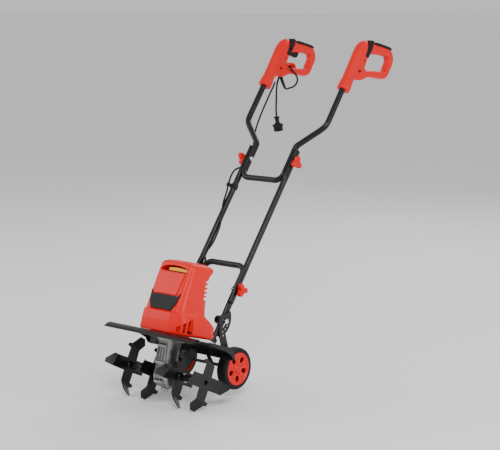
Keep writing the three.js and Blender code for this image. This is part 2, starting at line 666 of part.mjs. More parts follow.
// Wheel carrier: two sector plates on the lower handle, joined by the axle.
function carrierArm(side) {
  const [py, pz] = CARRIER_PIVOT;
  const outline = [];
  for (let i = 0; i <= 8; i += 1) {
    const a = THREE.MathUtils.degToRad(100 + i * 20);
    outline.push([py + 14 * Math.cos(a), pz + 14 * Math.sin(a)]);
  }
  outline.push([143, 231], [154, 190], [177, 112], [181, 103], [193, 99], [204, 104], [208, 114],
    [186, 200], [175, 238]);
  for (let i = 0; i <= 7; i += 1) {
    const a = THREE.MathUtils.degToRad(-58 + i * 11);
    outline.push([py + 62 * Math.cos(a), pz + 62 * Math.sin(a)]);
  }
  const x = [side * 100.2, side * 103.6].sort((a, b) => a - b);
  let plate = plateX(outline, x[0], x[1]);
  const start = Math.atan2(LOCK_BOLT[1] - pz, LOCK_BOLT[0] - py);
  const reach = Math.hypot(LOCK_BOLT[1] - pz, LOCK_BOLT[0] - py);
  const slot = [];
  for (const [r, order] of [[reach - 5, 1], [reach + 5, -1]]) {
    const row = [];
    for (let i = 0; i <= 8; i += 1) {
      const a = start + THREE.MathUtils.degToRad(-44 + i * 7);
      row.push([py + r * Math.cos(a), pz + r * Math.sin(a)]);
    }
    slot.push(...(order > 0 ? row : row.reverse()));
  }
  plate = minus(plate, plateX(slot, x[0] - 2, x[1] + 2), rodX(5.3, x[0] - 2, x[1] + 2, py, pz, 16));
  for (const [y, z] of [[186, 264], [175, 254], [162.5, 246.5], [164, 233]]) {
    plate = minus(plate, rodX(3.6, x[0] - 2, x[1] + 2, y, z, 12));
  }
  return minus(plate, rodX(AXLE_RADIUS + GAP, x[0] - 2, x[1] + 2, ...AXLE, 16));
}

function tyre(side) {
  const [a, b] = WHEEL_X;
  const outline = [[a, WHEEL_RIM + 0.8], [a, 68], [a + 1.5, 71.5], [a + 5, 74], [a + 11, WHEEL_RADIUS],
    [b - 11, WHEEL_RADIUS],
    [b - 5, 74], [b - 1.5, 71.5], [b, 68], [b, WHEEL_RIM + 0.8]];
  const solid = turnedX(outline, 30);
  return (side > 0 ? solid : solid.mirror([1, 0, 0])).translate([0, ...AXLE]);
}

function wheelHub(side) {
  const [a, b] = WHEEL_X;
  const outline = [[a + 2, WHEEL_RIM - 4], [a + 2, WHEEL_RIM], [b - 0.5, WHEEL_RIM],
    [b + 0.6, WHEEL_RIM - 2], [b + 0.6, 51],
    [b - 3, 49], [b - 4.5, 17], [b + 1, 12], [b + 1.5, 0], [b - 4, 0], [b - 4, AXLE_RADIUS + GAP],
    [a - 1, AXLE_RADIUS + GAP], [a - 1, 13], [b - 9, 14], [b - 8, 46], [b - 9, WHEEL_RIM - 4]];
  let solid = turnedX(outline, 25);
  for (let i = 0; i < 5; i += 1) {
    const slot = loft([b - 14, b + 4].map((x) => Array.from({ length: 10 }, (_, k) => {
      const t = k / 10 * Math.PI * 2;
      return [x, 35 + 11.5 * Math.cos(t), 6.4 * Math.sin(t)];
    })));
    solid = minus(solid, slot.rotate([i * 72 + 50, 0, 0]));
  }
  return (side > 0 ? solid : solid.mirror([1, 0, 0])).translate([0, ...AXLE]);
}

function addWheels() {
  addPiece('axle', turnedX([[-142, 0], [-142, 5], [-141, 6], [141, 6], [142, 5],
    [142, 0]], 24).translate([0, ...AXLE]), zinc);
  for (const [side, name] of [[-1, 'left'], [1, 'right']]) {
    addPiece(`carrier_arm_${name}`, carrierArm(side), steelBlack);
    addPiece(`tyre_${name}`, tyre(side), rubber);
    addPiece(`wheel_hub_${name}`, wheelHub(side), red);
  }
}

// Grips: a sleeve on the tube and a closed loop behind it.
const LOOP = [[802, 1108], [830, 1150], [851, 1181], [866, 1208], [884, 1232], [905, 1237], [931, 1231],
  [985, 1221], [1028, 1211],
  [1044, 1203], [1055, 1186], [1058, 1168], [1050, 1146], [1031, 1124], [1014, 1101], [1004, 1094],
  [988, 1093], [955, 1099],
  [915, 1105], [872, 1101], [838, 1096], [812, 1098]];
const OPENING = [[860, 1132], [880, 1163], [897, 1183], [915, 1187], [955, 1187], [995, 1182],
  [1018, 1176], [1028, 1165],
  [1024, 1150], [1010, 1130], [998, 1126], [956, 1125], [905, 1129], [872, 1126]];

function sleeveRings(rows) {
  return rows.map(([z, off, halfX, halfY]) => {
    const c = new THREE.Vector3(0, planeY(z) + off, z);
    return Array.from({ length: 14 }, (_, k) => {
      const t = (k + 0.5) / 14 * Math.PI * 2;
      const p = c.clone().addScaledVector(PLANE_NORMAL, halfY * Math.sin(t));
      return [p.x + halfX * Math.cos(t), p.y, p.z];
    });
  });
}

function gripBody() {
  const sleeve = loft(sleeveRings([[1076, 6, 19, 20], [1080, 6, 22.5, 24.5], [1091, 6, 22.5, 24.5],
    [1095, 6, 21, 23], [1130, 6, 21, 23.5],
    [1175, 4, 21.5, 24], [1205, 4, 22, 24.5], [1220, 8, 20, 22], [1232, 13, 15, 17], [1239, 18, 8, 9]]));
  const loop = mouldedX(LOOP, -17, 17, 6);
  const hole = mouldedX(OPENING, -30, 30, 0.1);
  const collar = loft(sleeveRings([[1063, 6, 21, 22], [1066, 6, 24.5, 25.5], [1080, 6, 24.5, 25.5],
    [1084, 6, 21, 23]]));
  const bore = bar([1030, 1110].map((z) => new THREE.Vector3(0, planeY(z), z)), PLANE_NORMAL, [[11.3,
    11.3], [11.3, 11.3]], 16);
  return minus(union(sleeve, loop, collar), hole, bore);
}

// Two soft pads on the back of the grip, joined by a web inside it.
function pads(room = 0) {
  const first = [[934, 1226], [934, 1233.4], [960, 1229.4], [982, 1224.6], [982, 1217]];
  const second = [[987, 1216], [987, 1223.6], [1028, 1213.4], [1040, 1207.6], [1036, 1201.4], [1026, 1206]];
  const web = [[936, 1221], [936, 1228], [984, 1219], [1028, 1209], [1028, 1202], [984, 1212]];
  const top = [first, second].map((outline) => mouldedX(outline, -15, 15, 2, room));
  return union(mouldedX(web, -6, 6, 1, room), ...top);
}

function band(room = 0) {
  const outline = [[897, 1242], [912, 1241.5], [924, 1238], [912, 1213], [884, 1176], [865, 1184],
    [880, 1212]];
  return mouldedX(outline, -19, 19, 3, room);
}

const onGrip = (solid, side) => solid.translate([side * GRIP_X, 0, 0]);

function addGrips() {
  for (const [side, name] of [[-1, 'switch'], [1, 'plain']]) {
    let body = minus(gripBody(), pads(GAP), band(GAP));
    let ring = band();
    if (side < 0) {
      body = union(minus(body, triggerRoom(), buttonRoom(), strainRelief(GAP)), cordHook());
      ring = minus(ring, triggerRoom(), buttonRoom());
    }
    addPiece(`${name}_grip`, onGrip(body, side), red);
    addPiece(`${name}_grip_pad`, onGrip(pads(), side), rubber);
    addPiece(`${name}_grip_band`, onGrip(ring, side), rubber);
  }
}

const TRIGGER = [[893, 1201], [930, 1204], [952, 1197], [955, 1186], [944, 1169], [934, 1166],
  [918, 1172], [902, 1178]];

function trigger() {
  return mouldedX(TRIGGER, -7, 7, 1.5);
}

function triggerRoom() {
  return plateX([[886, 1212], [958, 1210], [958, 1180], [900, 1160], [884, 1176]], -8.5, 8.5);
}

function lockButton() {
  return turnedX([[16, 0], [16, 6], [23, 6], [24, 5], [24, 0]], 20).translate([0, 893, 1206]);
}

function buttonRoom() {
  return rodX(6.6, 8.5, 40, 893, 1206, 20);
}

// Bridge on the lower beam that the power lead is threaded through.
function cordHook() {
  const outside = [[868, 1122], [868, 1138], [881, 1147], [903, 1149], [921, 1145], [931, 1132],
    [931, 1122]];
  const inside = [[878, 1110], [878, 1134], [885, 1140], [905, 1141], [917, 1137], [921, 1130],
    [921, 1110]];
  const arch = minus(mouldedX(outside, -14, 14, 1.5), plateX(inside, -20, 20));
  return arch;
}

function strainRelief(room = 0) {
  const path = [[848, 1100 + room], [850, 1094], [855, 1084], [862, 1072], [869, 1061], [875, 1051]];
  const points = path.map(([y, z]) => new THREE.Vector3(0, y, z));
  return bar(points, new THREE.Vector3(1, 0, 0), [8, 8, 7, 6.2, 5.4, 4.9].map((r) => [r + room,
    r + room]), 12);
}

// The power lead leaves the relief, loops round, goes through the hook and hangs behind the grip.
const CORD = [[-186, 877.6, 1048.8], [-186, 887, 1046.2], [-185, 900, 1049], [-183, 914, 1051],
  [-180, 929, 1057], [-175, 937, 1069],
  [-169, 934, 1084], [-165, 919, 1099], [-163.5, 904, 1112], [-163, 889, 1123], [-164.5, 883, 1130.5],
  [-173, 884, 1134.6],
  [-186, 890, 1134.5], [-200, 892, 1134.3], [-210, 890, 1127.5], [-213, 881, 1108], [-212, 869, 1090],
  [-210, 857, 1070],
  [-207, 849, 1043], [-205, 845, 1005], [-205, 844, 965], [-205, 847, 940.6]];
const PLUG = [-205, 847.1, 940];
const PLUG_LEAN = 13;

function plug() {
  const shell = turnedZ([[0, 0], [0, 5.5], [-2, 6.5], [-22, 7.5], [-30, 14], [-35, 18.3], [-52, 18.3],
    [-52, 0]], 18);
  const wings = union(box(-12, 12, -2.2, 2.2, -6, -1), box(-20.5, 20.5, -6, 6, -40, -33));
  const pins = union(rodZ(2.4, -71, -50, 9.5, 0, 12), rodZ(2.4, -71, -50, -9.5, 0, 12));
  const slots = union(box(-3, 3, 15, 25, -60, -40), box(-3, 3, -25, -15, -60, -40));
  return minus(union(shell, wings, pins), slots).rotate([0, 0, 35]).rotate([PLUG_LEAN, 0,
    0]).translate(PLUG);
}

// The motor's own cable, in one run for each folding section.
const CABLE = {
  upper: [[-181, 806, 1077], [-182, 797, 1060], [-183, 782, 1040], [-180, 759, 1013], [-175, 728, 980],
    [-166, 690, 940],
    [-151, 652, 905], [-138, 628, 880], [-126, 608, 850], [-122, 594, 820], [-122, 577, 791]],
  middle: [[-122, 576.7, 790.6], [-123, 570, 779], [-127, 554, 771], [-129, 528, 772], [-128, 497, 764],
    [-126, 474, 742],
    [-124, 459, 717], [-121, 447, 694], [-117.5, 432, 673], [-108, 410, 652], [-94, 385, 608],
    [-90, 369, 572], [-87, 329, 520],
    [-86, 292, 492], [-83, 272, 480], [-78, 266, 476], [-74.15, 266, 476]],
  lower: [[-73.85, 266, 476], [-70, 266, 476], [-65, 262, 471], [-58, 244, 450], [-52, 218, 415],
    [-47, 186, 376], [-43, 150, 343],
    [-40, 122, 322], [-40, 107.6, 315]],
};

function clip() {
  const cable = [-17.5, -15.9];
  const ring = rodZ(14.5, -8, 8, 0, 0, 20);
  const arm = box(-21, 0, -3, 3, -6, 6).rotate([0, 0, 42]);
  const eye = rodZ(7, -6, 6, ...cable, 16);
  const body = minus(union(ring, arm, eye), rodZ(TUBE_RADIUS + GAP, -20, 20, 0, 0, 20), rodZ(4.9, -20,
    20, ...cable, 12));
  const [x, y, z] = CLIP;
  return body.rotate([-THREE.MathUtils.radToDeg(Math.atan(SLOPE)), 0, 0]).translate([-x, y, z]);
}

function addLeads() {
  addPiece('strain_relief', onGrip(strainRelief(), -1), rubber);
  addPiece('power_cord', lead(CORD, 3.6, 8, 33), rubber);
  addPiece('power_plug', plug(), rubber);
  addPiece('motor_cable_upper', lead(CABLE.upper, 3.4, 8, 18), rubber);
  addPiece('motor_cable_middle', lead(CABLE.middle, 3.4, 8, 28), rubber);
  addPiece('motor_cable_lower', lead(CABLE.lower, 3.4, 8, 16), rubber);
  addPiece('cable_clip', clip(), black);
}

addCover();
addGearCase();
addDrive();
addChassis();
addTines();
addFrame();
addWheels();
addGrips();
addPiece('trigger', onGrip(trigger(), -1), black);
addPiece('lock_button', onGrip(lockButton(), -1), black);
addLeads();

export default group;
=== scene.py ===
"""Looks for the electric tiller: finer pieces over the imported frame, materials, light and camera."""

import math

import bmesh
import bpy
from mathutils import Matrix, Vector


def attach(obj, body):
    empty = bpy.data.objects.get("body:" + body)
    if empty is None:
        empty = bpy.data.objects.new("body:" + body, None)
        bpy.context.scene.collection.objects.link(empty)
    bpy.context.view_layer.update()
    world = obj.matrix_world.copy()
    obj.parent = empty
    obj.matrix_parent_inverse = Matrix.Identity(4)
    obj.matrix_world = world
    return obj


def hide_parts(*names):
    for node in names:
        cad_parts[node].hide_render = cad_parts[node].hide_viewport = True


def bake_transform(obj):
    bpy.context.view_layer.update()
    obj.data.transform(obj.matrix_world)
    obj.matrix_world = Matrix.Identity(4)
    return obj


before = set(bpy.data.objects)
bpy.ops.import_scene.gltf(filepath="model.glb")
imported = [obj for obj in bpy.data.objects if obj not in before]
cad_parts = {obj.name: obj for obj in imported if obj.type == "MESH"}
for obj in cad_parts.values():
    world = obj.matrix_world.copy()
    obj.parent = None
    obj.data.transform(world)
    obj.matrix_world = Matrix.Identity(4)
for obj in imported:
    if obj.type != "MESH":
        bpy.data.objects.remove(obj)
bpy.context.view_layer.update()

# Shapes are written in millimetres, in the machine's own layout, and moved into the row frame by TO_ROW.
TILT = math.radians(16)
ROW_Y, ROW_Z = -471.015, -13.605
SHAFT = (0.0, -8.0, 113.0)
TO_ROW = Matrix.Scale(0.001, 4) @ Matrix.Translation((0, ROW_Y, ROW_Z))
# Pieces of the head are written upright around the tine shaft, and HEAD leans them back.
HEAD = Matrix.Translation(SHAFT) @ Matrix.Rotation(-TILT, 4, "X")
AXLE = (0.0, 193.0, 114.0)
CARRIER_PIVOT = (145.0, 293.0)
LOCK_BOLT = (176.0, 282.0)
LEG_X, MID_X, GRIP_X = 92.5, 106.5, 186.0
# The handle lies in a plane that leans back by SLOPE and passes through this point.
SLOPE, PLANE_Y, PLANE_Z = 0.757, 420, 639
NORMAL = Vector((0, 1, -SLOPE)).normalized()


def plane_y(z):
    """Y on the handle plane at a height."""
    return PLANE_Y + SLOPE * (z - PLANE_Z)


# Heights of the two folding joints; the lower one stands a little behind the plane.
LOW_Z, TOP_Z = 386.0, 807.0
LOW_PIVOT = (plane_y(LOW_Z) + 8, LOW_Z)
TOP_PIVOT = (plane_y(TOP_Z), TOP_Z)
SIDES = ((-1, "left"), (1, "right"))


# Materials.


def nodes_of(name):
    mat = bpy.data.materials.new(name)
    mat.use_nodes = True
    tree = mat.node_tree
    return mat, tree, tree.nodes["Principled BSDF"]


def rounded(tree, radius_mm):
    """Softens hard edges and meeting lines in the shading."""
    node = tree.nodes.new("ShaderNodeBevel")
    node.samples = 6
    node.inputs["Radius"].default_value = radius_mm / 1000
    return node


def bumped(tree, shader, scale, strength, distance_mm, edge_mm, detail=3.0):
    """Fine surface relief from noise, on top of softened edges."""
    place = tree.nodes.new("ShaderNodeTexCoord")
    noise = tree.nodes.new("ShaderNodeTexNoise")
    noise.inputs["Scale"].default_value = scale
    noise.inputs["Detail"].default_value = detail
    bump = tree.nodes.new("ShaderNodeBump")
    bump.inputs["Strength"].default_value = strength
    bump.inputs["Distance"].default_value = distance_mm / 1000
    tree.links.new(place.outputs["Object"], noise.inputs["Vector"])
    tree.links.new(noise.outputs["Fac"], bump.inputs["Height"])
    if edge_mm:
        tree.links.new(rounded(tree, edge_mm).outputs["Normal"], bump.inputs["Normal"])
    tree.links.new(bump.outputs["Normal"], shader.inputs["Normal"])


def varied(tree, shader, socket, low, high, scale, offset=0.0):
    """Slow, slight variation of one number over the surface."""
    place = tree.nodes.new("ShaderNodeTexCoord")
    mapping = tree.nodes.new("ShaderNodeMapping")
    mapping.inputs["Location"].default_value = (offset, offset * 0.7, 0)
    noise = tree.nodes.new("ShaderNodeTexNoise")
    noise.inputs["Scale"].default_value = scale
    noise.inputs["Detail"].default_value = 4.0
    spread = tree.nodes.new("ShaderNodeMapRange")
    spread.inputs["From Min"].default_value = 0.3
    spread.inputs["From Max"].default_value = 0.7
    spread.inputs["To Min"].default_value = low
    spread.inputs["To Max"].default_value = high
    tree.links.new(place.outputs["Object"], mapping.inputs["Vector"])
    tree.links.new(mapping.outputs["Vector"], noise.inputs["Vector"])
    tree.links.new(noise.outputs["Fac"], spread.inputs["Value"])
    tree.links.new(spread.outputs["Result"], shader.inputs[socket])


def plastic(name, color, rough, edge_mm, coat=0.0, grain=900.0, grain_mm=0.03):
    mat, tree, shader = nodes_of(name)
    shader.inputs["Specular IOR Level"].default_value = 0.22
    shader.inputs["Base Color"].default_value = (*color, 1)
    shader.inputs["Coat Weight"].default_value = coat
    shader.inputs["Coat Roughness"].default_value = 0.12
    varied(tree, shader, "Roughness", rough - 0.04, rough + 0.06, 14.0)
    bumped(tree, shader, grain, 0.25, grain_mm, edge_mm)
    return mat


def metal(name, color, rough, edge_mm, grain=500.0, grain_mm=0.02):
    mat, tree, shader = nodes_of(name)
    shader.inputs["Base Color"].default_value = (*color, 1)
    shader.inputs["Metallic"].default_value = 1.0
    varied(tree, shader, "Roughness", rough - 0.06, rough + 0.1, 30.0)
    bumped(tree, shader, grain, 0.4, grain_mm, edge_mm)
    return mat


def powder_coat(name, color, rough, edge_mm):
    mat, tree, shader = nodes_of(name)
    shader.inputs["Base Color"].default_value = (*color, 1)
    shader.inputs["Specular IOR Level"].default_value = 0.34
    varied(tree, shader, "Roughness", rough - 0.05, rough + 0.08, 12.0, 3.0)
    bumped(tree, shader, 900.0, 0.12, 0.02, edge_mm, detail=2.0)
    return mat


RED_GLOSS = plastic("hood red", (0.80, 0.003, 0.0025), 0.30, 1.2, coat=0.08, grain=140.0, grain_mm=0.01)
RED_MATTE = plastic("grip red", (0.72, 0.003, 0.0025), 0.38, 1.0, coat=0.05)
INSERT = plastic("insert grey", (0.006, 0.006, 0.007), 0.42, 0.5)
YELLOW = plastic("label yellow", (0.85, 0.42, 0.01), 0.35, 0.0)
BLACK = plastic("black plastic", (0.004, 0.004, 0.0045), 0.36, 0.8)
RUBBER = plastic("soft black", (0.006, 0.006, 0.006), 0.58, 0.6, grain=1400.0, grain_mm=0.08)
TYRE = plastic("tyre rubber", (0.007, 0.007, 0.0075), 0.62, 0.6, grain=600.0, grain_mm=0.12)
LEAD = plastic("lead sheath", (0.005, 0.005, 0.005), 0.42, 0.0, grain=700.0, grain_mm=0.03)
STEEL_BLACK = powder_coat("black powder coat", (0.0045, 0.0045, 0.005), 0.26, 0.6)
TINE_BLACK = powder_coat("tine black", (0.0045, 0.0045, 0.005), 0.30, 0.7)
CAST = metal("cast aluminium", (0.34, 0.335, 0.33), 0.42, 1.4, grain=700.0, grain_mm=0.12)
ZINC = metal("bright zinc", (0.70, 0.71, 0.73), 0.24, 0.4)
BRASS = metal("bronze", (0.62, 0.44, 0.20), 0.35, 0.3)
# Painted shade: near-black and very matte, put in the grips' screw recesses where the holes lie in shadow.
SCREW_HOLE_SHADE = plastic("painted screw hole shade", (0.004, 0.004, 0.004), 0.8, 0.0)


# Mesh building.


def shell(rings, closed_path=False):
    """A mesh through rings of points, with flat ends unless the path is closed."""
    bm = bmesh.new()
    rows = [[bm.verts.new(p) for p in ring] for ring in rings]
    count = len(rows[0])
    pairs = list(zip(rows, rows[1:]))
    if closed_path:
        pairs.append((rows[-1], rows[0]))
    for a, b in pairs:
        for i in range(count):
            j = (i + 1) % count
            bm.faces.new((a[i], a[j], b[j], b[i]))
    if not closed_path:
        bm.faces.new(rows[0][::-1])
        bm.faces.new(rows[-1])
    bmesh.ops.remove_doubles(bm, verts=bm.verts, dist=1e-4)
    bmesh.ops.recalc_face_normals(bm, faces=bm.faces)
    return bm


def merged(*parts):
    """Several meshes as one."""
    bm = bmesh.new()
    for part in parts:
        mesh = bpy.data.meshes.new("part")
        part.to_mesh(mesh)
        bm.from_mesh(mesh)
        bpy.data.meshes.remove(mesh)
        part.free()
    return bm


def moved(bm, *matrices):
    """A mesh taken through matrices in turn, its faces still outward."""
    for m in matrices:
        bm.transform(m)
    if matrices and math.prod(1 if m.determinant() > 0 else -1 for m in matrices) < 0:
        bmesh.ops.reverse_faces(bm, faces=bm.faces)
    return bm


def shift(x=0, y=0, z=0):
    return Matrix.Translation((x, y, z))


def turn(degrees, axis="X"):
    return Matrix.Rotation(math.radians(degrees), 4, axis)


MIRROR = Matrix.Scale(-1, 4, (1, 0, 0))


def on_side(side):
    """What takes a piece written for the right side to a side."""
    return [MIRROR] if side < 0 else []


def block(x0, x1, y0, y1, z0, z1):
    return shell([[(x0, y0, z), (x1, y0, z), (x1, y1, z), (x0, y1, z)] for z in (z0, z1)])


def circle(radius, count):
    turns = [i / count * math.tau for i in range(count)]
    return [(radius * math.cos(t), radius * math.sin(t)) for t in turns]


def rod_x(radius, x0, x1, sides=32):
    return shell([[(x, a, b) for a, b in circle(radius, sides)] for x in (x0, x1)])


def rod_z(radius, z0, z1, x, sides=32):
    return shell([[(x + a, b, z) for a, b in circle(radius, sides)] for z in (z0, z1)])


def lathe_x(outline, sides=48):
    """Turned about X from a closed outline of (x, radius)."""
    rings = []
    for k in range(sides):
        a = k / sides * math.tau
        rings.append([(x, r * math.cos(a), r * math.sin(a)) for x, r in outline])
    bm = shell(rings, closed_path=True)
    bmesh.ops.dissolve_degenerate(bm, edges=bm.edges, dist=1e-4)
    return bm


def lathe_z(outline, sides=48):
    """Turned about Z from a closed outline of (z, radius)."""
    return moved(lathe_x(outline, sides), turn(-90, "Y"))


def plate_x(outline, x0, x1):
    """A plate between two x, from an outline of (y, z)."""
    return shell([[(x, y, z) for y, z in outline] for x in (x0, x1)])


def smooth_line(points, per=6, closed=False):
    """Points of a smooth curve through the given ones."""
    pts = [Vector(p) for p in points]
    n = len(pts)
    out = []
    for i in range(n if closed else n - 1):
        if closed:
            p0, p1, p2, p3 = (pts[(i + k) % n] for k in (-1, 0, 1, 2))
        else:
            p1, p2 = pts[i], pts[i + 1]
            p0 = pts[i - 1] if i else p1 * 2 - p2
            p3 = pts[i + 2] if i + 2 < n else p2 * 2 - p1
        t1 = max((p1 - p0).length, 1e-6) ** 0.5
        t2 = t1 + max((p2 - p1).length, 1e-6) ** 0.5
        t3 = t2 + max((p3 - p2).length, 1e-6) ** 0.5
        for k in range(per):
            t = t1 + (t2 - t1) * k / per
            a1 = p0 * ((t1 - t) / t1) + p1 * (t / t1)
            a2 = p1 * ((t2 - t) / (t2 - t1)) + p2 * ((t - t1) / (t2 - t1))
            a3 = p2 * ((t3 - t) / (t3 - t2)) + p3 * ((t - t2) / (t3 - t2))
            b1 = a1 * ((t2 - t) / t2) + a2 * (t / t2)
            b2 = a2 * ((t3 - t) / (t3 - t1)) + a3 * ((t - t1) / (t3 - t1))
            out.append(b1 * ((t2 - t) / (t2 - t1)) + b2 * ((t - t1) / (t2 - t1)))
    if not closed:
        out.append(pts[-1])
    return out


def squared(value, exponent):
    """A sine or cosine raised to a power with its sign kept, which squares up a circle."""
    return math.copysign(abs(value) ** exponent, value)


def sweep(points, sizes, normal=None, sides=24, power=2.0, closed=False):
    """A bar along points, with half widths across and along the normal; a power above 2 squares it up."""
    pts = [Vector(p) for p in points]
    n = len(pts)
    rings = []
    up = Vector(normal) if normal is not None else None
    frame_up = None
    for i, p in enumerate(pts):
        if closed:
            tangent = (pts[(i + 1) % n] - pts[i - 1]).normalized()
        else:
            tangent = (pts[min(i + 1, n - 1)] - pts[max(i - 1, 0)]).normalized()
        if up is None:
            if frame_up is None:
                frame_up = tangent.orthogonal().normalized()
            frame_up = (frame_up - tangent * frame_up.dot(tangent)).normalized()
            v = frame_up
        else:
            v = (up - tangent * up.dot(tangent)).normalized()
        w = tangent.cross(v).normalized()
        a, b = sizes[i] if isinstance(sizes, list) else (sizes, sizes)
        e = power[i] if isinstance(power, list) else power
        ring = []
        for k in range(sides):
            t = (k + 0.5) / sides * math.tau
            c, s = squared(math.cos(t), 2 / e), squared(math.sin(t), 2 / e)
            ring.append(p + w * (a * c) + v * (b * s))
        rings.append(ring)
    return shell(rings, closed_path=closed)


def combine(base, other, operation="DIFFERENCE"):
    """Cuts, joins or intersects two meshes."""
    objs = []
    for part in (base, other):
        mesh = bpy.data.meshes.new("work")
        part.to_mesh(mesh)
        part.free()
        obj = bpy.data.objects.new("work", mesh)
        bpy.context.scene.collection.objects.link(obj)
        objs.append(obj)
    mod = objs[0].modifiers.new("cut", "BOOLEAN")
    mod.operation = operation
    mod.solver = "EXACT"
    mod.object = objs[1]
    done = objs[0].evaluated_get(bpy.context.evaluated_depsgraph_get())
    bm = bmesh.new()
    bm.from_mesh(done.to_mesh())
    done.to_mesh_clear()
    for obj in objs:
        mesh = obj.data
        bpy.data.objects.remove(obj)
        bpy.data.meshes.remove(mesh)
    return bm


def shade(mesh, angle):
    """Smooth shading that keeps edges sharper than the angle."""
    bm = bmesh.new()
    bm.from_mesh(mesh)
    limit = math.radians(angle)
    for face in bm.faces:
        face.smooth = True
    for edge in bm.edges:
        edge.smooth = len(edge.link_faces) == 2 and edge.calc_face_angle(0.0) < limit
    bm.to_mesh(mesh)
    bm.free()


def add(name, bm, mat, body, nodes=(), head=False, bevel=0.0, angle=32, segments=2):
    """A finished piece: placed, shaded, given its material and tied to its body."""
    if head:
        moved(bm, HEAD)
    moved(bm, TO_ROW)
    mesh = bpy.data.meshes.new(name)
    bm.to_mesh(mesh)
    bm.free()
    obj = bpy.data.objects.new(name, mesh)
    bpy.context.scene.collection.objects.link(obj)
    mesh.materials.append(mat)
    shade(mesh, angle)
    if bevel:
        mod = obj.modifiers.new("edges", "BEVEL")
        mod.width = bevel / 1000
        mod.segments = segments
        mod.limit_method = "ANGLE"
        mod.angle_limit = math.radians(angle)
        mod.harden_normals = True
    if body:
        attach(obj, body)
    if nodes:
        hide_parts(*nodes)
    return obj


def keep(node, mat):
    """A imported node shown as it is, with a material."""
    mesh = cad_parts[node].data
    mesh.materials.clear()
    mesh.materials.append(mat)
    shade(mesh, 30)


# Motor hood.


# The front of the upper shell: where its slope ends below and above, and how it leans.
NOSE_FOOT, NOSE_TOP, NOSE_TOP_S = 217, 348, -69
NOSE_LEAN = 0.237


def nose(t):
    """Front of the upper shell at a height."""
    return NOSE_TOP_S - NOSE_LEAN * (NOSE_TOP - t)


# Rows of the hood: height, half width, front and rear.
HOOD = [
    (142.6, 105.0, -111.0, 95.0),
    (145, 107.0, -113.5, 97.0),
    (152, 107.5, -114.0, 97.5),
    (184, 103.5, -113.0, 96.0),
    (197, 99.0, -111.5, 77),
    (212, 93.5, -109.5, 56),
    (217, 87, nose(217), 53),
    (232, 86, nose(232), 49),
    (262, 84, nose(262), 47),
    (300, 83, nose(300), 46),
    (341, 81, nose(341), 45),
    (356, 80, nose(356), 52),
    (369, 79, nose(369), 64),
    (378, 77, -63.5, 68),
    (385, 72, -58.5, 65),
    (391, 60, -47, 54),
    (394.5, 38, -26, 36),
]


def hood_outline(t, w, f, b, count=144):
    """Plan of the hood at a height, evenly spaced and softened."""
    nose_half = min(68, w * 0.86)
    ridge = min(76, w * 0.93)
    r = min(34 if t < 190 else 28, w * 0.5, (b - f) * 0.3)
    right = [(0, f), (nose_half, f), (ridge, f + 9)]
    right += [(ridge + (w - ridge) * 0.6, f + 9 + (b - f) * 0.12), (w, f + 9 + (b - f) * 0.34)]
    right += [
        (w - r + r * math.cos(a), b - r + r * math.sin(a))
        for a in (i / 12 * math.pi / 2 for i in range(13))
    ]
    right.append((0, b))
    loop = right + [(-x, y) for x, y in right[-2:0:-1]]
    steps = [math.dist(loop[i], loop[(i + 1) % len(loop)]) for i in range(len(loop))]
    total = sum(steps)
    pts, i, gone = [], 0, 0.0
    for k in range(count):
        want = total * k / count
        while gone + steps[i] < want:
            gone += steps[i]
            i += 1
        q = (want - gone) / steps[i]
        a, c = loop[i], loop[(i + 1) % len(loop)]
        pts.append((a[0] + (c[0] - a[0]) * q, a[1] + (c[1] - a[1]) * q))
    for _ in range(3):
        pts = [
            (
                (pts[i - 1][0] + 2 * p[0] + pts[(i + 1) % count][0]) / 4,
                (pts[i - 1][1] + 2 * p[1] + pts[(i + 1) % count][1]) / 4,
            )
            for i, p in enumerate(pts)
        ]
    return [(x, y, t) for x, y in pts]


def hood_shell():
    """The closed hood, with rings between its rows."""
    rings = []
    for (t0, *a), (t1, *b) in zip(HOOD, HOOD[1:]):
        n = max(1, round((t1 - t0) / 5))
        for k in range(n):
            q = k / n
            rings.append(hood_outline(t0 + (t1 - t0) * q, *(u + (v - u) * q for u, v in zip(a, b))))
    rings.append(hood_outline(*HOOD[-1]))
    return shell(rings)


def hood():
    body = hood_shell()
    # Hollow from below.
    hollow, hollow_top = 0.94, 158
    inner = [(x * hollow, y * hollow, t) for x, y, t in hood_outline(*HOOD[0])]
    body = combine(body, shell([inner, [(x, y, hollow_top) for x, y, _ in inner]]))
    # Cooling slots across the rear corners.
    first_slot, slot_step, slot_high = 273, 14.5, 8
    for i in range(5):
        t = first_slot + i * slot_step
        for x0, x1 in ((-95, -42), (42, 95)):
            body = combine(body, block(x0, x1, 16, 80, t, t + slot_high))
    # A dish low on each side, with three vents of growing height.
    for side in (-1, 1):
        dish = [(-116, 158), (-100, 171), (-72, 190), (-40, 200), (-36, 195), (-36, 150), (-116, 150)]
        body = combine(body, plate_x(dish, *sorted((side * 96, side * 125))))
        for s, t, height in ((-97, 153, 20), (-76, 152, 34), (-54, 151, 45)):
            slot = [(s, t), (s + 13, t), (s + 13, t + height), (s + 9, t + height), (s, t + height - 7)]
            body = combine(body, plate_x(slot, *sorted((side * 76, side * 125))))
    # The carrying recess in the top of the front.
    arch = [
        (-62, 352), (60, 350), (61, 358), (56, 365), (44, 370), (22, 373), (-6, 374), (-34, 372),
        (-54, 366), (-62, 359),
    ]
    mouth = shell([[(x, s, t) for x, t in arch] for s in (-130, -18)])
    body = combine(body, mouth)
    add("hood_shell", body, RED_GLOSS, "chassis", ["hood"], head=True, angle=38)


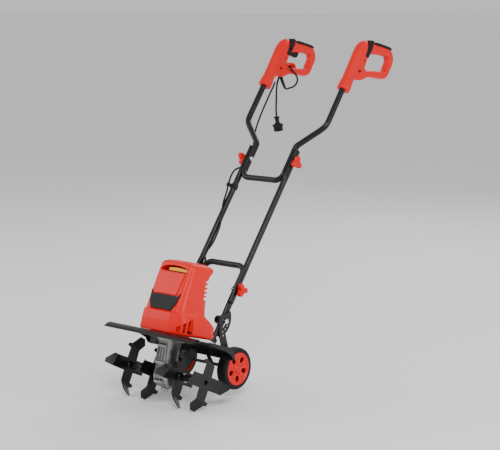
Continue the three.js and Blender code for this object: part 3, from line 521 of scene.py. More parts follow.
def on_nose(outline, thick, lift=0.3):
    """A plate lying on the sloping nose, from an outline of (x, height)."""
    lean = math.atan(NOSE_LEAN)
    points = [(x, (t - NOSE_FOOT) / math.cos(lean)) for x, t in outline]
    bm = shell([[(x, y, h) for x, y in points] for h in (0, thick)])
    upright = Matrix.Rotation(math.pi / 2 - lean, 4, "X")
    return moved(bm, upright, shift(0, nose(NOSE_FOOT) - lift, NOSE_FOOT))


def hood_trim():
    panel = [(-48, 271), (48, 271), (56, 348), (-56, 348)]
    add(
        "name_panel", on_nose(panel, 4.5), RED_GLOSS, "chassis", ["front_panel"], head=True,
        bevel=3.6, segments=4,
    )
    insert = [
        (-47, 218), (47, 218), (61, 244), (67.5, 282), (58, 268.5), (-58, 268.5), (-67.5, 282), (-61, 244),
    ]
    add(
        "dark_insert", on_nose(insert, 3.4), INSERT, "chassis", ["front_insert"], head=True,
        bevel=0.9,
    )
    top = [(-30 + 86 * k / 16, 357 + 9 * math.sin(math.pi * (0.25 + 0.6 * k / 16))) for k in range(17)]
    strip = moved(on_nose([(-30, 354.5), (56, 354.5), *top[::-1]], 2.0), shift(0, 9, 0))
    add("label_strip", strip, YELLOW, "chassis", ["recess_strip"], head=True, bevel=0.3)
    for name in ("motor_can", "armature"):
        keep(name, ZINC)


# Gear case and what turns in it.


def gear_case():
    def ring(t, x, front, rear, sides=56, exponent=0.45):
        out = []
        for k in range(sides):
            a = (k + 0.5) / sides * math.tau
            c, s = squared(math.cos(a), exponent), squared(math.sin(a), exponent)
            out.append((x * c, (front + rear) / 2 + (rear - front) / 2 * s, t))
        return out

    # Rows of the column and of the flange on its top: height, half width, front and rear.
    column = [(8, 28, -47, 18), (40, 27, -52, 14), (80, 26, -53, 12), (118, 30, -56, 18)]
    flange = [(114, 34, -60, 24), (124, 43, -67, 33), (127, 44, -68, 34), (137.6, 44, -68, 34)]
    drum = [(-33, 0), (-33, 38), (-31, 42), (-27.5, 47), (-26, 48)]
    drum += [(-x, r) for x, r in drum[::-1]]
    tube = [(-45, 0), (-45, 23), (-43.5, 25), (43.5, 25), (45, 23), (45, 0)]
    parts = [lathe_x(drum, 64)]
    parts += [shell([ring(*row) for row in rows]) for rows in (column, flange)]
    parts.append(lathe_x(tube, 48))
    # Ribs down the front of the column and round the drum.
    for x in (-19, -6.5, 6.5, 19):
        parts.append(block(x - 1.4, x + 1.4, -57.5, -30, 30, 119))
        web = [
            (-50.5, 32), (-52, 14), (-50.5, -8), (-45, -25), (-34, -40), (-20, -46), (-20, -20), (-20, 30),
        ]
        parts.append(plate_x(web, x - 1.4, x + 1.4))
    for x in (-31, 31):
        for k in range(6):
            a = math.radians(20 + k * 60)
            rib = [(26, -1.5), (40, -1.5), (40, 1.5), (26, 1.5)]
            pts = [(r * math.cos(a) - w * math.sin(a), r * math.sin(a) + w * math.cos(a)) for r, w in rib]
            parts.append(plate_x(pts, x - 3.4, x + 3.4))
    # Ears for the bolts that hold the halves together.
    bosses = [(-54, 36), (-46, -28), (-4, -53), (41, -30), (44, 20), (-60, 96), (18, 78)]
    for y, z in bosses:
        ear = lathe_x([(-15, 0), (-15, 6), (-14, 7), (14, 7), (15, 6), (15, 0)], 28)
        parts.append(moved(ear, shift(0, y, z)))
    whole = merged(*parts)
    add(
        "gear_case", whole, CAST, "chassis", ["gear_case_left", "gear_case_right"],
        head=True, angle=34,
    )
    heads = [bolt_head(side * 15, y, z, side, 4.6, 4.2) for y, z in bosses for side in (-1, 1)]
    add("case_bolts", merged(*heads), ZINC, "chassis", head=True, angle=30)
    for name in ("shaft_bush_left", "shaft_bush_right"):
        keep(name, RUBBER)
    keep("worm_wheel", BRASS)


def bolt_head(x, y, z, side, radius, high, round_head=False):
    """Head with a socket, standing on a face at x and pointing along side."""
    outline = [
        (0, 0), (0, radius), (high - 0.8, radius), (high, radius - 0.8), (high, radius * 0.5),
        (high - 1.6, radius * 0.45), (high - 1.6, 0),
    ]
    return moved(lathe_x(outline, 28 if round_head else 6), *on_side(side), shift(x, y, z))


# Guard and frame plate.


def guard():
    top = [
        (-147.5, 126), (-141, 132.5), (-131, 138.5), (-121, 142.2), (-113, 141.6), (-106, 137.8),
        (20, 132.8),
    ]
    top += [(58, 129.9), (70, 126.5), (79, 120.5), (86, 111), (97.5, 87)]
    line = [(p.x, p.y) for p in smooth_line([(y, z, 0) for y, z in top], 4)]
    thick, half_wide = 3, 204
    under = []
    for i, (y, z) in enumerate(line):
        (y0, z0), (y1, z1) = line[max(i - 1, 0)], line[min(i + 1, len(line) - 1)]
        n = math.dist((y0, z0), (y1, z1))
        under.append((y + (z1 - z0) / n * thick, z - (y1 - y0) / n * thick))
    sheet = plate_x(line + under[::-1], -half_wide, half_wide)
    lip = [
        (-60, 138), (20, 131.8), (58, 128.9), (70, 125), (79, 119.5), (85, 110.5), (95, 89), (88, 88),
        (72, 104), (40, 114), (0, 120), (-30, 127),
    ]
    sheet = combine(sheet, block(-47, 47, -73, 39, 100, 180))
    lips = [plate_x(lip, *sorted((side * 201.2, side * 203.9))) for side in (-1, 1)]
    add(
        "guard_sheet", merged(sheet, *lips), STEEL_BLACK, "chassis", ["guard"], head=True,
        angle=30,
    )
    keep("frame_plate", STEEL_BLACK)


# Tines.


# Where the inner and outer star sit on each side, and how far the stars are turned.
TINE_X = {"left": (60, 185), "right": (56, 170)}
TINE_PHASE = -26
ROOT_HALF, TINE_HALF_THICK = 23, 2
FOLD_ANGLE, FOLD_RADIUS, FOLD_BACK = math.radians(43), 9.0, 3.5
# Points of an arm that lie further than this before its fold line stay flat.
FOLD_END = -8
# An arm: both ends of its fold line, its tip as (distance out, distance along) and the outline of its hook.
PLAIN = ((86, 22), (69, -22), [(0, 0), (31.4, -3.7), (34.8, 10.3), (16.3, 44.7), (0, 47.2)], [])
HOOKED = (
    (76.5, 21),
    (60, -22),
    [(0, 0), (36.5, -4.5), (42.5, 14.5), (29, 39.5), (20, 41.5), (0, 46)],
    [(59, 21.5), (63, 36), (65.5, 41), (70, 38.5), (76, 33.5)],
)


def tine_arm(kind, bend):
    """A flat arm whose end is rolled over along its slanted fold line."""
    p0, p1, tip, hook = kind
    root = Vector(p0)
    along = (Vector(p1) - root).normalized()
    out = Vector((-along.y, along.x))
    full, radius, back = FOLD_ANGLE, FOLD_RADIUS, FOLD_BACK
    start = [(0, -ROOT_HALF), (0, ROOT_HALF), (40, ROOT_HALF + 0.3)]
    outline = [Vector(q) for q in start + hook] + [root + along * w + out * d for d, w in tip]
    outline += [Vector((30, -ROOT_HALF - 0.3))]
    flat = bmesh.new()
    flat.faces.new([flat.verts.new((0, q.x, q.y)) for q in outline])
    arc = radius * full
    cuts = 7
    for k in range(cuts + 1):
        base = root + out * (-back + arc * k / cuts)
        geom = flat.verts[:] + flat.edges[:] + flat.faces[:]
        bmesh.ops.bisect_plane(flat, geom=geom, plane_co=(0, *base), plane_no=(0, *out))

    def folded(r, w, h):
        """Where a point of the flat arm goes, h being its height above the sheet's middle."""
        rel = Vector((r, w)) - root
        d = rel.dot(out) + back
        if d <= 0 or rel.dot(along) < FOLD_END:
            return Vector((h, r, w))
        phi = min(d / radius, full)
        rest = max(0.0, d - arc)
        reach = radius * math.sin(phi) + rest * math.cos(phi) - back
        lift = radius * (1 - math.cos(phi)) + rest * math.sin(phi)
        q = root + along * rel.dot(along) + out * reach
        tilt = -math.sin(phi) * bend
        return Vector((bend * lift, q.x, q.y)) + Vector((math.cos(phi), tilt * out.x, tilt * out.y)) * h

    thickness = (-TINE_HALF_THICK, TINE_HALF_THICK)
    index = {v: i for i, v in enumerate(flat.verts)}
    made = bmesh.new()
    layers = [[made.verts.new(folded(v.co.y, v.co.z, h)) for v in flat.verts] for h in thickness]
    for f in flat.faces:
        ids = [index[v] for v in f.verts]
        made.faces.new([layers[0][i] for i in ids])
        made.faces.new([layers[1][i] for i in ids[::-1]])
    for e in flat.edges:
        if len(e.link_faces) == 1:
            i, j = (index[v] for v in e.verts)
            made.faces.new((layers[0][i], layers[0][j], layers[1][j], layers[1][i]))
    flat.free()
    bmesh.ops.recalc_face_normals(made, faces=made.faces)
    return made


def tine_star(mirrored, x):
    """Four arms, folded to alternate sides, with a hole for the shaft."""
    kinds = ((PLAIN, 1), (HOOKED, -1), (PLAIN, 1), (HOOKED, -1))
    arms = [moved(tine_arm(*kind), turn(i * 90)) for i, kind in enumerate(kinds)]
    star = arms[0]
    for arm in arms[1:]:
        star = combine(star, arm, "UNION")
    star = combine(star, rod_x(12.2, -10, 10, sides=40))
    return moved(star, turn(TINE_PHASE), *([MIRROR] if mirrored else []), shift(x, SHAFT[1], SHAFT[2]))


PIN_X, CLIP_X = 74, 81.5


def tines():
    keep("tine_shaft", TINE_BLACK)
    for side, name in SIDES:
        for x, ring in zip(TINE_X[name], ("inner", "outer")):
            star = tine_star((name == "left") == (ring == "outer"), side * x)
            node = f"tine_star_{ring}_{name}"
            add(
                f"tines_{ring}_{name}", star, TINE_BLACK, "tine_rotor", [node], bevel=0.7,
                angle=30,
            )
        end = TINE_X[name][1] + 3
        outline = [
            (48.4, 8.3), (48.4, 15.2), (49.2, 16), (52.2, 16), (53, 15.2), (53, 12), (end - 0.6, 12),
            (end, 11.4), (end, 8.3),
        ]
        welds = [weld_ring(TINE_X[name][0], 1), weld_ring(TINE_X[name][1], -1)]
        piece = moved(merged(lathe_x(outline, 40), *welds), *on_side(side), shift(0, SHAFT[1], SHAFT[2]))
        add(f"hub_sleeve_{name}", piece, TINE_BLACK, "tine_rotor", [f"hub_tube_{name}"])
        pin = merged(rod_z(3, -17, 15, side * PIN_X), pin_head(side * PIN_X), clip_ring(side * CLIP_X))
        moved(pin, shift(0, SHAFT[1], SHAFT[2]))
        add(f"clevis_pin_{name}", pin, ZINC, "tine_rotor", [f"hitch_pin_{name}"])


def weld_ring(x, way):
    """Fillet of weld between a star and its sleeve."""
    outline = [(2, 11.8), (2, 15.4), (3.4, 14.6), (6, 11.8)]
    return lathe_x([(x + way * out, r) for out, r in outline], 40)


def pin_head(x):
    """Head of a clevis pin."""
    return moved(lathe_z([(12.6, 0), (12.6, 5.5), (15, 5.5), (16, 4.5), (16, 0)], 28), shift(x))


def clip_ring(x):
    """Wire ring through the pin's end."""
    path = [(x + a, b, -14) for a, b in circle(6.5, 28)]
    return sweep(path, 1.1, normal=(0, 0, 1), sides=10, closed=True)


# Frame tubes.


TUBE_RADIUS = 11
FLAT_HALF_X, FLAT_HALF_Y = 6.6, 13.4


def flat_sizes(flats):
    """Half widths and squareness along a tube that is round at 0 and pressed flat at 1."""
    sizes, powers = [], []
    for f in flats:
        q = f * f * (3 - 2 * f)
        sizes.append([TUBE_RADIUS + (half - TUBE_RADIUS) * q for half in (FLAT_HALF_X, FLAT_HALF_Y)])
        powers.append(2 + 1.2 * q)
    return sizes, powers


def frame_bar(points, flats, per=5):
    """A bent tube through (x, z, offset from the handle plane) points, with a flatness for each."""
    pts = [Vector((x, plane_y(z) + off, z)) for x, z, off in points]
    line = smooth_line(pts, per)
    values = []
    for i in range(len(flats) - 1):
        values += [flats[i] + (flats[i + 1] - flats[i]) * k / per for k in range(per)]
    values.append(flats[-1])
    sizes, powers = flat_sizes(values)
    return sweep(line, sizes, normal=NORMAL, sides=32, power=powers)


def mirrored_run(points, flats):
    """A tube through the points of its right half and their mirror images."""
    left = [(-x, z, off) for x, z, off in points[::-1]]
    return frame_bar(points + left, flats + flats[::-1])


def corner(x0, z0, x1, z1, steps=6):
    """Points of a quarter bend from one point to another."""
    turns = [i / steps * math.pi / 2 for i in range(steps + 1)]
    return [(x1 + (x0 - x1) * math.cos(t), z0 + (z1 - z0) * math.sin(t)) for t in turns]


LEG_BACK, LEG_LEAN = 16, 5 / 157
BAR_Z = 457


def leg_offset(z):
    """How far behind the handle plane the lower handle stands at a height."""
    return LEG_BACK + max(0, LOW_Z - z) * LEG_LEAN


def lower_handle():
    leg = [(LEG_X, z, leg_offset(z)) for z in (216, 219, 260, 300, 340, LOW_Z, 424)]
    bend = [(x, z, LEG_BACK) for x, z in corner(LEG_X, 430, 62, BAR_Z)]
    mid = [(30, BAR_Z, LEG_BACK), (10, BAR_Z, LEG_BACK)]
    bar = mirrored_run(leg + bend + mid, [0.8, 1, 1, 1, 1, 1, 1, 1, 0.85, 0.6, 0.3, 0.1, 0, 0, 0, 0])
    parts = [bar]
    # A lug for the wheel carrier on the inner side of each leg, with a stud through it.
    lug = [
        (130, 293), (134, 303), (145, 308), (158, 304), (200, 312), (186, 278), (166, 262), (141, 279),
        (133, 284),
    ]
    for side in (-1, 1):
        parts.append(plate_x(lug, *sorted((side * 89.5, side * 95))))
        stud = lathe_x([(90, 0), (90, 5), (104.4, 5), (104.4, 9), (107, 9), (108, 8), (108, 0)], 32)
        parts.append(moved(stud, *on_side(side), shift(0, *CARRIER_PIVOT)))
    add("lower_frame", merged(*parts), STEEL_BLACK, "chassis", ["lower_handle"])


def middle_tubes():
    run = [(346, 1), (380, 1), (443, 1), (456, 0.5), (470, 0), (560, 0), (650, 0), (735, 0)]
    run += [(752, 0.35), (764, 1), (810, 1), (848, 1)]
    for side, name in SIDES:
        tube = frame_bar([(side * MID_X, z, 0) for z, _ in run], [flat for _, flat in run], 3)
        node = f"middle_tube_{name}"
        add(f"middle_bar_{name}", tube, STEEL_BLACK, "middle_handle", [node])


def upper_handle():
    bend = corner(LEG_X, 770, 64, 744)[::-1]
    run = [
        (LEG_X, 776), (LEG_X, 815), (LEG_X, 852), (94, 861), (100, 868), (110, 876), (138, 898), (166, 920),
        (177, 930),
    ]
    run += [(184, 941), (GRIP_X, 954), (GRIP_X, 1000), (GRIP_X, 1060), (GRIP_X, 1098)]
    flats = [0, 0, 0, 0.1, 0.3, 0.7, 1, 1, 1, 1, 0.6, 0.2] + [0] * 9
    pts = [(x, z, 0) for x, z in [(10, 744), (36, 744)] + bend + run][::-1]
    bar = mirrored_run(pts, ([0, 0] + flats)[::-1])
    add("upper_frame", bar, STEEL_BLACK, "upper_handle", ["upper_handle"])


SHANK_RADIUS = 4


def hex_bolt(head_x, head_high, head_r, end_x, y, z, side, nut=None):
    """A through bolt with its washer, and a round nut given as (x, radius, height)."""
    parts = [rod_x(head_r, head_x, head_x + head_high, sides=6), rod_x(SHANK_RADIUS, head_x + 1, end_x)]
    parts.append(rod_x(head_r * 1.25, head_x + head_high, head_x + head_high + 1.0))
    if nut:
        parts.append(bolt_head(nut[0], 0, 0, 1, nut[1], nut[2], round_head=True))
    return moved(merged(*parts), *on_side(side), shift(0, y, z))


def fasteners():
    foot_z = 230
    foot = (plane_y(foot_z) + leg_offset(foot_z), foot_z)
    for side, name in SIDES:
        leg = hex_bolt(77.2, 3.2, 6.5, 103, *foot, side, nut=(99.6, 7, 4.4))
        add(f"foot_bolt_{name}", leg, ZINC, "chassis", [f"leg_bolt_{name}"], bevel=0.4)
        lock = hex_bolt(82, 2.6, 6.5, 105, *LOCK_BOLT, side, nut=(104.2, 9.2, 5.6))
        add(f"index_bolt_{name}", lock, ZINC, "chassis", [f"lock_bolt_{name}"], bevel=0.4)
        for level, at, body in (("lower", LOW_PIVOT, "chassis"), ("upper", TOP_PIVOT, "middle_handle")):
            bolt = hex_bolt(82, 2.4, 7.0, 131, *at, side)
            node = f"pivot_bolt_{level}_{name}"
            add(f"joint_bolt_{level}_{name}", bolt, ZINC, body, [node], bevel=0.4)


KNOB_TURN = {"lower_left": 20, "lower_right": 20, "upper_left": 40, "upper_right": -15}
KNOB_WAIST, KNOB_LOBE = 10.5, 15.0


def knob(side, at, degrees):
    """A three-lobed knob, its lobes blended into a waist."""
    outline = []
    for k in range(96):
        a = k / 96 * math.tau
        lobe = 0.5 + 0.5 * math.cos(3 * (a - math.radians(90)))
        r = KNOB_WAIST + KNOB_LOBE * lobe**0.8
        outline.append((r * math.cos(a), r * math.sin(a)))
    rings = []
    for x, q in ((120, 0.93), (121, 0.975), (122.6, 1), (132.5, 1), (134.4, 0.975), (135.5, 0.92)):
        rings.append([(x, y * q, z * q) for y, z in outline])
    core = [(114.5, 0), (114.5, 10), (115.5, 11), (136.2, 11)]
    core += [(137, 10.2), (137, 5), (135.6, 4.2), (135.6, 0)]
    body = merged(shell(rings), lathe_x(core, 40))
    return moved(body, turn(degrees), *on_side(side), shift(0, *at))


def knobs():
    for level, at in (("lower", LOW_PIVOT), ("upper", TOP_PIVOT)):
        for side, name in SIDES:
            piece = knob(side, at, KNOB_TURN[f"{level}_{name}"])
            node = f"knob_{level}_{name}"
            add(f"clamp_{node}", piece, RED_MATTE, node, [node], angle=36)


# Wheel carrier and wheels.


def carrier():
    for _, name in SIDES:
        keep(f"carrier_arm_{name}", STEEL_BLACK)
    bar = lathe_x([(-142, 0), (-142, 5), (-141, 6), (141, 6), (142, 5), (142, 0)], 32)
    add("axle_bar", moved(bar, shift(*AXLE)), STEEL_BLACK, "wheel_carrier", ["axle"])


# Inner and outer face of a wheel, then its openings: how many, the first one's angle and their shape.
WHEEL_FACES = (107, 147)
OPENINGS, FIRST_OPENING = 5, 50
OPENING_AT, OPENING_LONG, OPENING_WIDE = 35, 11.5, 9


def wheels():
    a, b = WHEEL_FACES
    tread = [
        (a, 58.4), (a, 67.5), (a + 0.7, 69.6), (a + 2, 71.6), (a + 5, 73.6), (a + 9, 74.6), (a + 13, 75),
    ]
    tread += [
        (a + 14, 73.6), (a + 15.5, 73.6), (a + 16.5, 75), (b - 16.5, 75), (b - 15.5, 73.6), (b - 14, 73.6),
    ]
    tread += [
        (b - 13, 75), (b - 9, 74.6), (b - 5, 73.6), (b - 2, 71.6), (b - 0.7, 69.6), (b, 67.5), (b, 58.4),
    ]
    disc = [
        (a + 2, 54), (a + 2, 58), (b - 0.5, 58), (b + 0.6, 56.6), (b + 0.6, 51.6), (b - 0.4, 50.6),
        (b - 3, 49), (b - 3.6, 30),
    ]
    disc += [
        (b - 4.5, 18), (b - 2.5, 15.4), (b + 0.6, 14), (b + 1.5, 12.6), (b + 1.5, 7), (b + 0.4, 6),
        (b + 0.4, 0), (b - 4, 0), (b - 4, 6.3),
    ]
    disc += [(a - 1, 6.3), (a - 1, 13), (b - 9, 14), (b - 8, 46), (b - 9, 54)]
    # An oval that is wider at its outer end.
    oval = circle(1, 28)
    hole = [(OPENING_AT + OPENING_LONG * c, OPENING_WIDE * s * (1 + 0.18 * c)) for c, s in oval]
    for side, name in SIDES:
        place = [*on_side(side), shift(*AXLE)]
        tyre = moved(lathe_x(tread, 96), *place)
        add(f"tyre_ring_{name}", tyre, TYRE, f"wheel_{name}", [f"tyre_{name}"], angle=40)
        body = lathe_x(disc, 80)
        ribs = []
        for i in range(OPENINGS):
            at = FIRST_OPENING + i * 360 / OPENINGS
            body = combine(body, moved(plate_x(hole, b - 14, b + 4), turn(at)))
            foot = ((14, -3), (50, -2.2), (50, 2.2), (14, 3))
            rib = shell([[(x, y, w * q) for y, w in foot] for x, q in ((b - 6, 1), (b - 1.9, 0.7))])
            ribs.append(moved(rib, turn(at + 180 / OPENINGS)))
        # Painted shade: a black disc closes the hollow behind the openings so that they show dark.
        back = lathe_x([(a + 5, 13.5), (a + 5, 53.5), (a + 6.5, 53.5), (a + 6.5, 13.5)], 64)
        add(f"wheel_shade_disc_{name}", moved(back, *place), BLACK, f"wheel_{name}")
        whole = moved(merged(body, *ribs), *place)
        add(
            f"wheel_disc_{name}", whole, RED_MATTE, f"wheel_{name}", [f"wheel_hub_{name}"],
            angle=34,
        )


# Grips.


# The finger loop of a grip as (y, z, half width), once round.
LOOP = [
    (848, 1130, 15), (862, 1165, 17), (880, 1196, 21), (905, 1211, 24.5), (931, 1209, 22),
    (958, 1206, 19.5), (990, 1201, 19), (1017, 1195, 19), (1037, 1183, 17.5), (1043, 1165, 15.5),
    (1037.5, 1148, 13), (1027, 1133.5, 12), (1018, 1119.5, 12.5), (1004, 1109, 14.5), (985, 1108, 15.5),
    (955, 1111, 14), (905, 1116.5, 13.5), (872, 1115.5, 14), (850, 1112, 15),
]


def grip_loop():
    per, half_x = 6, 17
    line = smooth_line([(0, y, z) for y, z, _ in LOOP], per, closed=True)
    widths = [w for _, _, w in LOOP]
    sizes = []
    for w0, w1 in zip(widths, widths[1:] + widths[:1]):
        sizes += [(w0 + (w1 - w0) * (k / per), half_x) for k in range(per)]
    return sweep(line, sizes, normal=(1, 0, 0), sides=32, power=3.0, closed=True)


def sleeve(rows, sides=48):
    """A body around the handle tube, from rows of (z, offset, half width, half depth)."""
    rings = []
    for z, off, half_x, half_y in rows:
        c = Vector((0, plane_y(z) + off, z))
        ring = []
        for k in range(sides):
            t = (k + 0.5) / sides * math.tau
            p = c + NORMAL * (half_y * math.sin(t))
            ring.append(p + Vector((half_x * math.cos(t), 0, 0)))
        rings.append(ring)
    return shell(rings)


def rows_between(rows, per=4):
    """More rows on smooth curves through the given ones."""
    line = smooth_line([(r[0], r[1], 0) for r in rows], per)
    side = smooth_line([(r[2], r[3], 0) for r in rows], per)
    return [(p.x, p.y, q.x, q.y) for p, q in zip(line, side)]


def grip_body():
    main = rows_between([
        (1076, 6, 19, 20), (1080, 6, 22.5, 24.5), (1091, 6, 22.5, 24.5), (1096, 6, 21, 23),
        (1130, 6, 21, 23.5), (1160, 5, 21.4, 24), (1190, 4, 21.8, 24.3), (1206, 4.5, 21.5, 24),
        (1220, 8, 19.8, 22), (1230, 12.5, 16, 17.5), (1236.5, 16.5, 11, 12), (1240, 19, 4, 4.5),
    ])
    collar = rows_between(
        [
            (1063, 6, 20, 21), (1065, 6, 23.6, 24.6), (1068, 6, 24.5, 25.5), (1079, 6, 24.5, 25.5),
            (1082, 6, 23.6, 24.6), (1084.5, 6, 20, 21),
        ],
        3,
    )
    gusset = [(802, 1108), (812, 1135), (845, 1160), (872, 1132), (872, 1101), (838, 1096), (814, 1098)]
    plate = plate_x(gusset, -14, 14)
    return merged(sleeve(main), sleeve(collar), plate, grip_loop())


def pads():
    """The two soft pads on the back of a grip, and the ribs on the first."""
    first = [
        (934, 1224), (934, 1232.5), (937, 1233.4), (960, 1229.6), (980, 1225.4), (982, 1223.6), (982, 1214),
    ]
    second = [
        (987, 1213), (987, 1222.6), (990, 1223.0), (1026, 1214), (1036, 1209.4), (1040.6, 1204.8),
        (1038, 1200), (1026, 1203),
    ]
    ribs = []
    for k in range(4):
        y = 943 + k * 10
        ribs.append(block(-12, 12, y, y + 4, 1225, 1233.6 - (y - 940) * 0.19))
    return merged(plate_x(first, -17.7, 17.7), plate_x(second, -17.7, 17.7)), ribs


def band():
    """The soft band round the top corner of a grip."""
    outer = [
        (895, 1241.5), (904, 1242.6), (914, 1241.8), (924, 1238), (919, 1225), (912, 1211), (884, 1176),
        (865, 1184), (878, 1206), (888, 1225),
    ]
    return plate_x(outer, -18.8, 18.8)


def screw(y, z, x):
    """A black plug at a screw recess on a side face; its black is painted shade for the hole."""
    outline = [(x - 4, 0), (x - 4, 3.4), (x, 3.4), (x, 2.6), (x - 1.2, 2.4), (x - 1.2, 0)]
    return moved(lathe_x(outline, 20), shift(0, y, z))


def grips():
    for side, name in ((-1, "switch"), (1, "plain")):
        at = shift(side * GRIP_X)
        body = grip_body()
        if side < 0:
            hook_out = [
                (868, 1120), (868, 1138), (873, 1143), (881, 1147), (892, 1149), (903, 1149.4), (913, 1148),
                (922, 1144), (928, 1138), (931, 1130), (931, 1120),
            ]
            hook_in = [
                (878, 1110), (878, 1134), (885, 1140), (895, 1141.4), (905, 1141), (917, 1137), (921, 1130),
                (921, 1110),
            ]
            arch = combine(plate_x(hook_out, -12.5, 12.5), plate_x(hook_in, -20, 20))
            body = merged(body, arch)
        add(
            f"{name}_handle", moved(body, at), RED_MATTE, "upper_handle", [f"{name}_grip"],
            angle=40,
        )
        pad, ribs = pads()
        add(
            f"{name}_pad", moved(merged(pad, *ribs), at), RUBBER, "upper_handle",
            [f"{name}_grip_pad"], bevel=1.6, segments=3,
        )
        add(
            f"{name}_band", moved(band(), at), RUBBER, "upper_handle", [f"{name}_grip_band"],
            bevel=3.2, segments=4,
        )
        spots = [
            (893, 1231, 14), (852, 1192, 17.6), (859, 1168, 17.8), (829, 1130, 20.4), (884, 1119, 16.9),
            (1000, 1108, 15.6), (1028, 1196, 15.6),
        ]
        # Black plugs at the screw recesses: painted shade for the holes.
        screw_hole_shades = [screw(y, z, x) for y, z, x in spots]
        add(f"{name}_screws", moved(merged(*screw_hole_shades), at), SCREW_HOLE_SHADE, "upper_handle")
    lever = [
        (893, 1201), (930, 1204), (952, 1197), (956, 1186), (953, 1178), (946, 1170), (939, 1166),
        (932, 1167), (918, 1172), (902, 1178),
    ]
    add(
        "trigger_lever", moved(plate_x(lever, -7, 7), shift(-GRIP_X)), BLACK, "trigger",
        ["trigger"], bevel=2.6, segments=3,
    )
    cap = lathe_x([(10, 0), (10, 6), (22.6, 6), (24, 4.6), (24.2, 0)], 32)
    add(
        "lock_cap", moved(cap, shift(-GRIP_X, 893, 1206)), BLACK, "lock_button",
        ["lock_button"],
    )


# Leads.


# Routes listed as in the imported part.
CORD = [
    (-186, 877.6, 1048.8), (-186, 887, 1046.2), (-185, 900, 1049), (-183, 914, 1051), (-180, 929, 1057),
    (-175, 937, 1069), (-169, 934, 1084), (-165, 919, 1099), (-163.5, 904, 1112), (-163, 889, 1123),
    (-164.5, 883, 1130.5), (-173, 884, 1134.6), (-186, 890, 1134.5), (-200, 892, 1134.3),
    (-210, 890, 1127.5), (-213, 881, 1108), (-212, 869, 1090), (-210, 857, 1070), (-207, 849, 1043),
    (-205, 845, 1005), (-205, 844, 965), (-205, 847, 940.6),
]
CABLE_UPPER = [
    (-181, 806, 1077), (-182, 797, 1060), (-183, 782, 1040), (-180, 759, 1013), (-175, 728, 980),
    (-166, 690, 940), (-151, 652, 905), (-138, 628, 880), (-126, 608, 850), (-122, 594, 820),
    (-122, 577, 791), (-127, 554, 771), (-129, 528, 772), (-128, 497, 764), (-126, 474, 742),
    (-124, 459, 717),
]
CABLE_LOWER = [
    (-124, 459, 717), (-121, 447, 694), (-117.5, 432, 673), (-108, 410, 652), (-94, 385, 608),
    (-90, 369, 572), (-87, 329, 520), (-86, 292, 492), (-83, 272, 480), (-78, 266, 476), (-70, 266, 476),
    (-65, 262, 471), (-58, 244, 450), (-52, 218, 415), (-47, 186, 376), (-43, 150, 343), (-40, 122, 322),
    (-40, 107.6, 315),
]


def leads():
    """The power lead as a cord, and the motor cable as two lengths that run across the folding joints."""
    cord_line = smooth_line(CORD, 8)
    cord = add(
        "lead", sweep(cord_line, 3.6, sides=16), LEAD, "upper_handle", ["power_cord"], angle=60,
    )
    relief = [(848, 1100), (850, 1094), (855, 1084), (862, 1072), (869, 1061), (875, 1051)]
    relief_line = smooth_line([(-GRIP_X, y, z) for y, z in relief], 5)
    # The strain relief tapers and has grooves.
    radii = []
    for i in range(len(relief_line)):
        r = 8 - 3.1 * (i / (len(relief_line) - 1)) ** 0.8
        radii.append((r - (0.8 if i > 6 and i % 4 in (2, 3) else 0), r))
    add(
        "relief", sweep(relief_line, radii, normal=(1, 0, 0), sides=24), RUBBER, "upper_handle",
        ["strain_relief"],
    )
    mains = plug()
    high = sweep(smooth_line(CABLE_UPPER, 8), 3.4, sides=14)
    high = add("cable_high", high, LEAD, None, ["motor_cable_upper"], angle=60)
    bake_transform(high)
    low = sweep(smooth_line(CABLE_LOWER, 8), 3.4, sides=14)
    low = add("cable_low", low, LEAD, None, ["motor_cable_middle", "motor_cable_lower"], angle=60)
    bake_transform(low)
    keep("cable_clip", BLACK)


def plug():
    place = shift(-205, 847.1, 940) @ turn(13) @ turn(35, "Z")
    casing = lathe_z([
        (0, 0), (0, 5), (-0.8, 5.5), (-2, 6.5), (-22, 7.5), (-26, 9.5), (-30, 14), (-33, 17), (-36, 18.3),
        (-57, 18.3), (-58, 17.4), (-58, 0),
    ], 48)
    wings = merged(block(-12, 12, -2.2, 2.2, -6, -1), block(-20.5, 20.5, -6, 6, -40, -33))
    grooves = [
        moved(lathe_z([(-6 - k * 4, 6), (-6 - k * 4, 8.2), (-8 - k * 4, 8.4), (-8 - k * 4, 6)], 32))
        for k in range(4)
    ]
    body = combine(casing, block(-3, 3, 15, 25, -66, -44))
    body = combine(body, block(-3, 3, -25, -15, -66, -44))
    plug_body = add(
        "plug_body", moved(merged(body, wings, *grooves), place), RUBBER, "upper_handle",
        ["power_plug"], angle=40,
    )
    pin = [(-56, 0), (-56, 2.4), (-75.6, 2.4), (-77, 1.4), (-77, 0)]
    pins = [moved(lathe_z(pin, 24), shift(x)) for x in (-9.5, 9.5)]
    plug_pins = add("plug_pins", moved(merged(*pins), place), ZINC, "upper_handle")
    return [plug_body, plug_pins]


# Light, floor and camera.


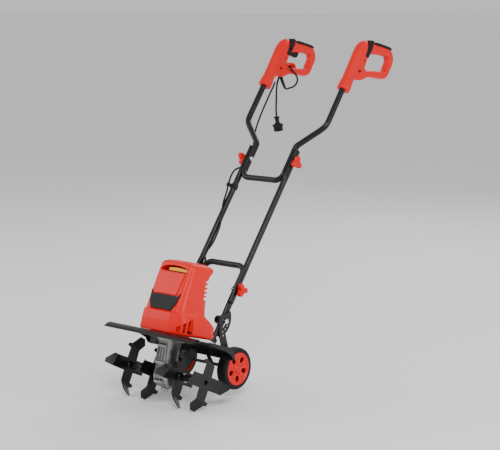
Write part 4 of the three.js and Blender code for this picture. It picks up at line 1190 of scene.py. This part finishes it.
def area(name, place, aim, size, power):
    light = bpy.data.lights.new(name, "AREA")
    light.shape = "RECTANGLE"
    light.size, light.size_y = size
    light.energy = power
    obj = bpy.data.objects.new(name, light)
    obj.location = place
    obj.rotation_mode = "QUATERNION"
    obj.rotation_quaternion = (Vector(aim) - Vector(place)).to_track_quat("-Z", "Y")
    bpy.context.scene.collection.objects.link(obj)


def studio():
    world = bpy.data.worlds.new("studio")
    bpy.context.scene.world = world
    world.use_nodes = True
    world.node_tree.nodes["Background"].inputs["Color"].default_value = (1, 1, 1, 1)
    world.node_tree.nodes["Background"].inputs["Strength"].default_value = 0.7
    mesh = bpy.data.meshes.new("floor")
    bm = bmesh.new()
    bmesh.ops.create_grid(bm, x_segments=1, y_segments=1, size=120)
    bm.to_mesh(mesh)
    bm.free()
    floor = bpy.data.objects.new("floor", mesh)
    bpy.context.scene.collection.objects.link(floor)
    floor.location = (0, 0, -0.0005)
    mat, _, shader = nodes_of("pale floor")
    shader.inputs["Base Color"].default_value = (0.9, 0.9, 0.9, 1)
    shader.inputs["Roughness"].default_value = 0.7
    mesh.materials.append(mat)
    area("key", (2.6, -2.6, 3.4), (0, 0, 0.6), (1.6, 1.6), 105)
    area("fill", (-3.0, -2.2, 2.2), (0, 0, 0.5), (2.2, 2.2), 38)
    area("rim", (-0.6, 3.4, 3.0), (0, 0, 0.7), (2.6, 1.2), 60)
    area("strip", (3.4, 0.6, 1.4), (0, 0, 0.6), (0.4, 2.4), 30)


CAMERA_AT = (3.1645, -3.8696, 1.3720)
CAMERA_AZIMUTH, CAMERA_RISE = math.radians(39.54), math.radians(9.204)


def camera():
    cam = bpy.data.cameras.new("camera")
    cam.lens = 99.3
    cam.sensor_width = 36
    obj = bpy.data.objects.new("camera", cam)
    bpy.context.scene.collection.objects.link(obj)
    obj.location = CAMERA_AT
    a, e = CAMERA_AZIMUTH, CAMERA_RISE
    back = Vector((math.sin(a) * math.cos(e), -math.cos(a) * math.cos(e), math.sin(e)))
    obj.rotation_mode = "QUATERNION"
    obj.rotation_quaternion = (-back).to_track_quat("-Z", "Y")
    bpy.context.scene.camera = obj


hood()
hood_trim()
gear_case()
guard()
tines()
lower_handle()
middle_tubes()
upper_handle()
fasteners()
knobs()
carrier()
wheels()
grips()
leads()
studio()
camera()
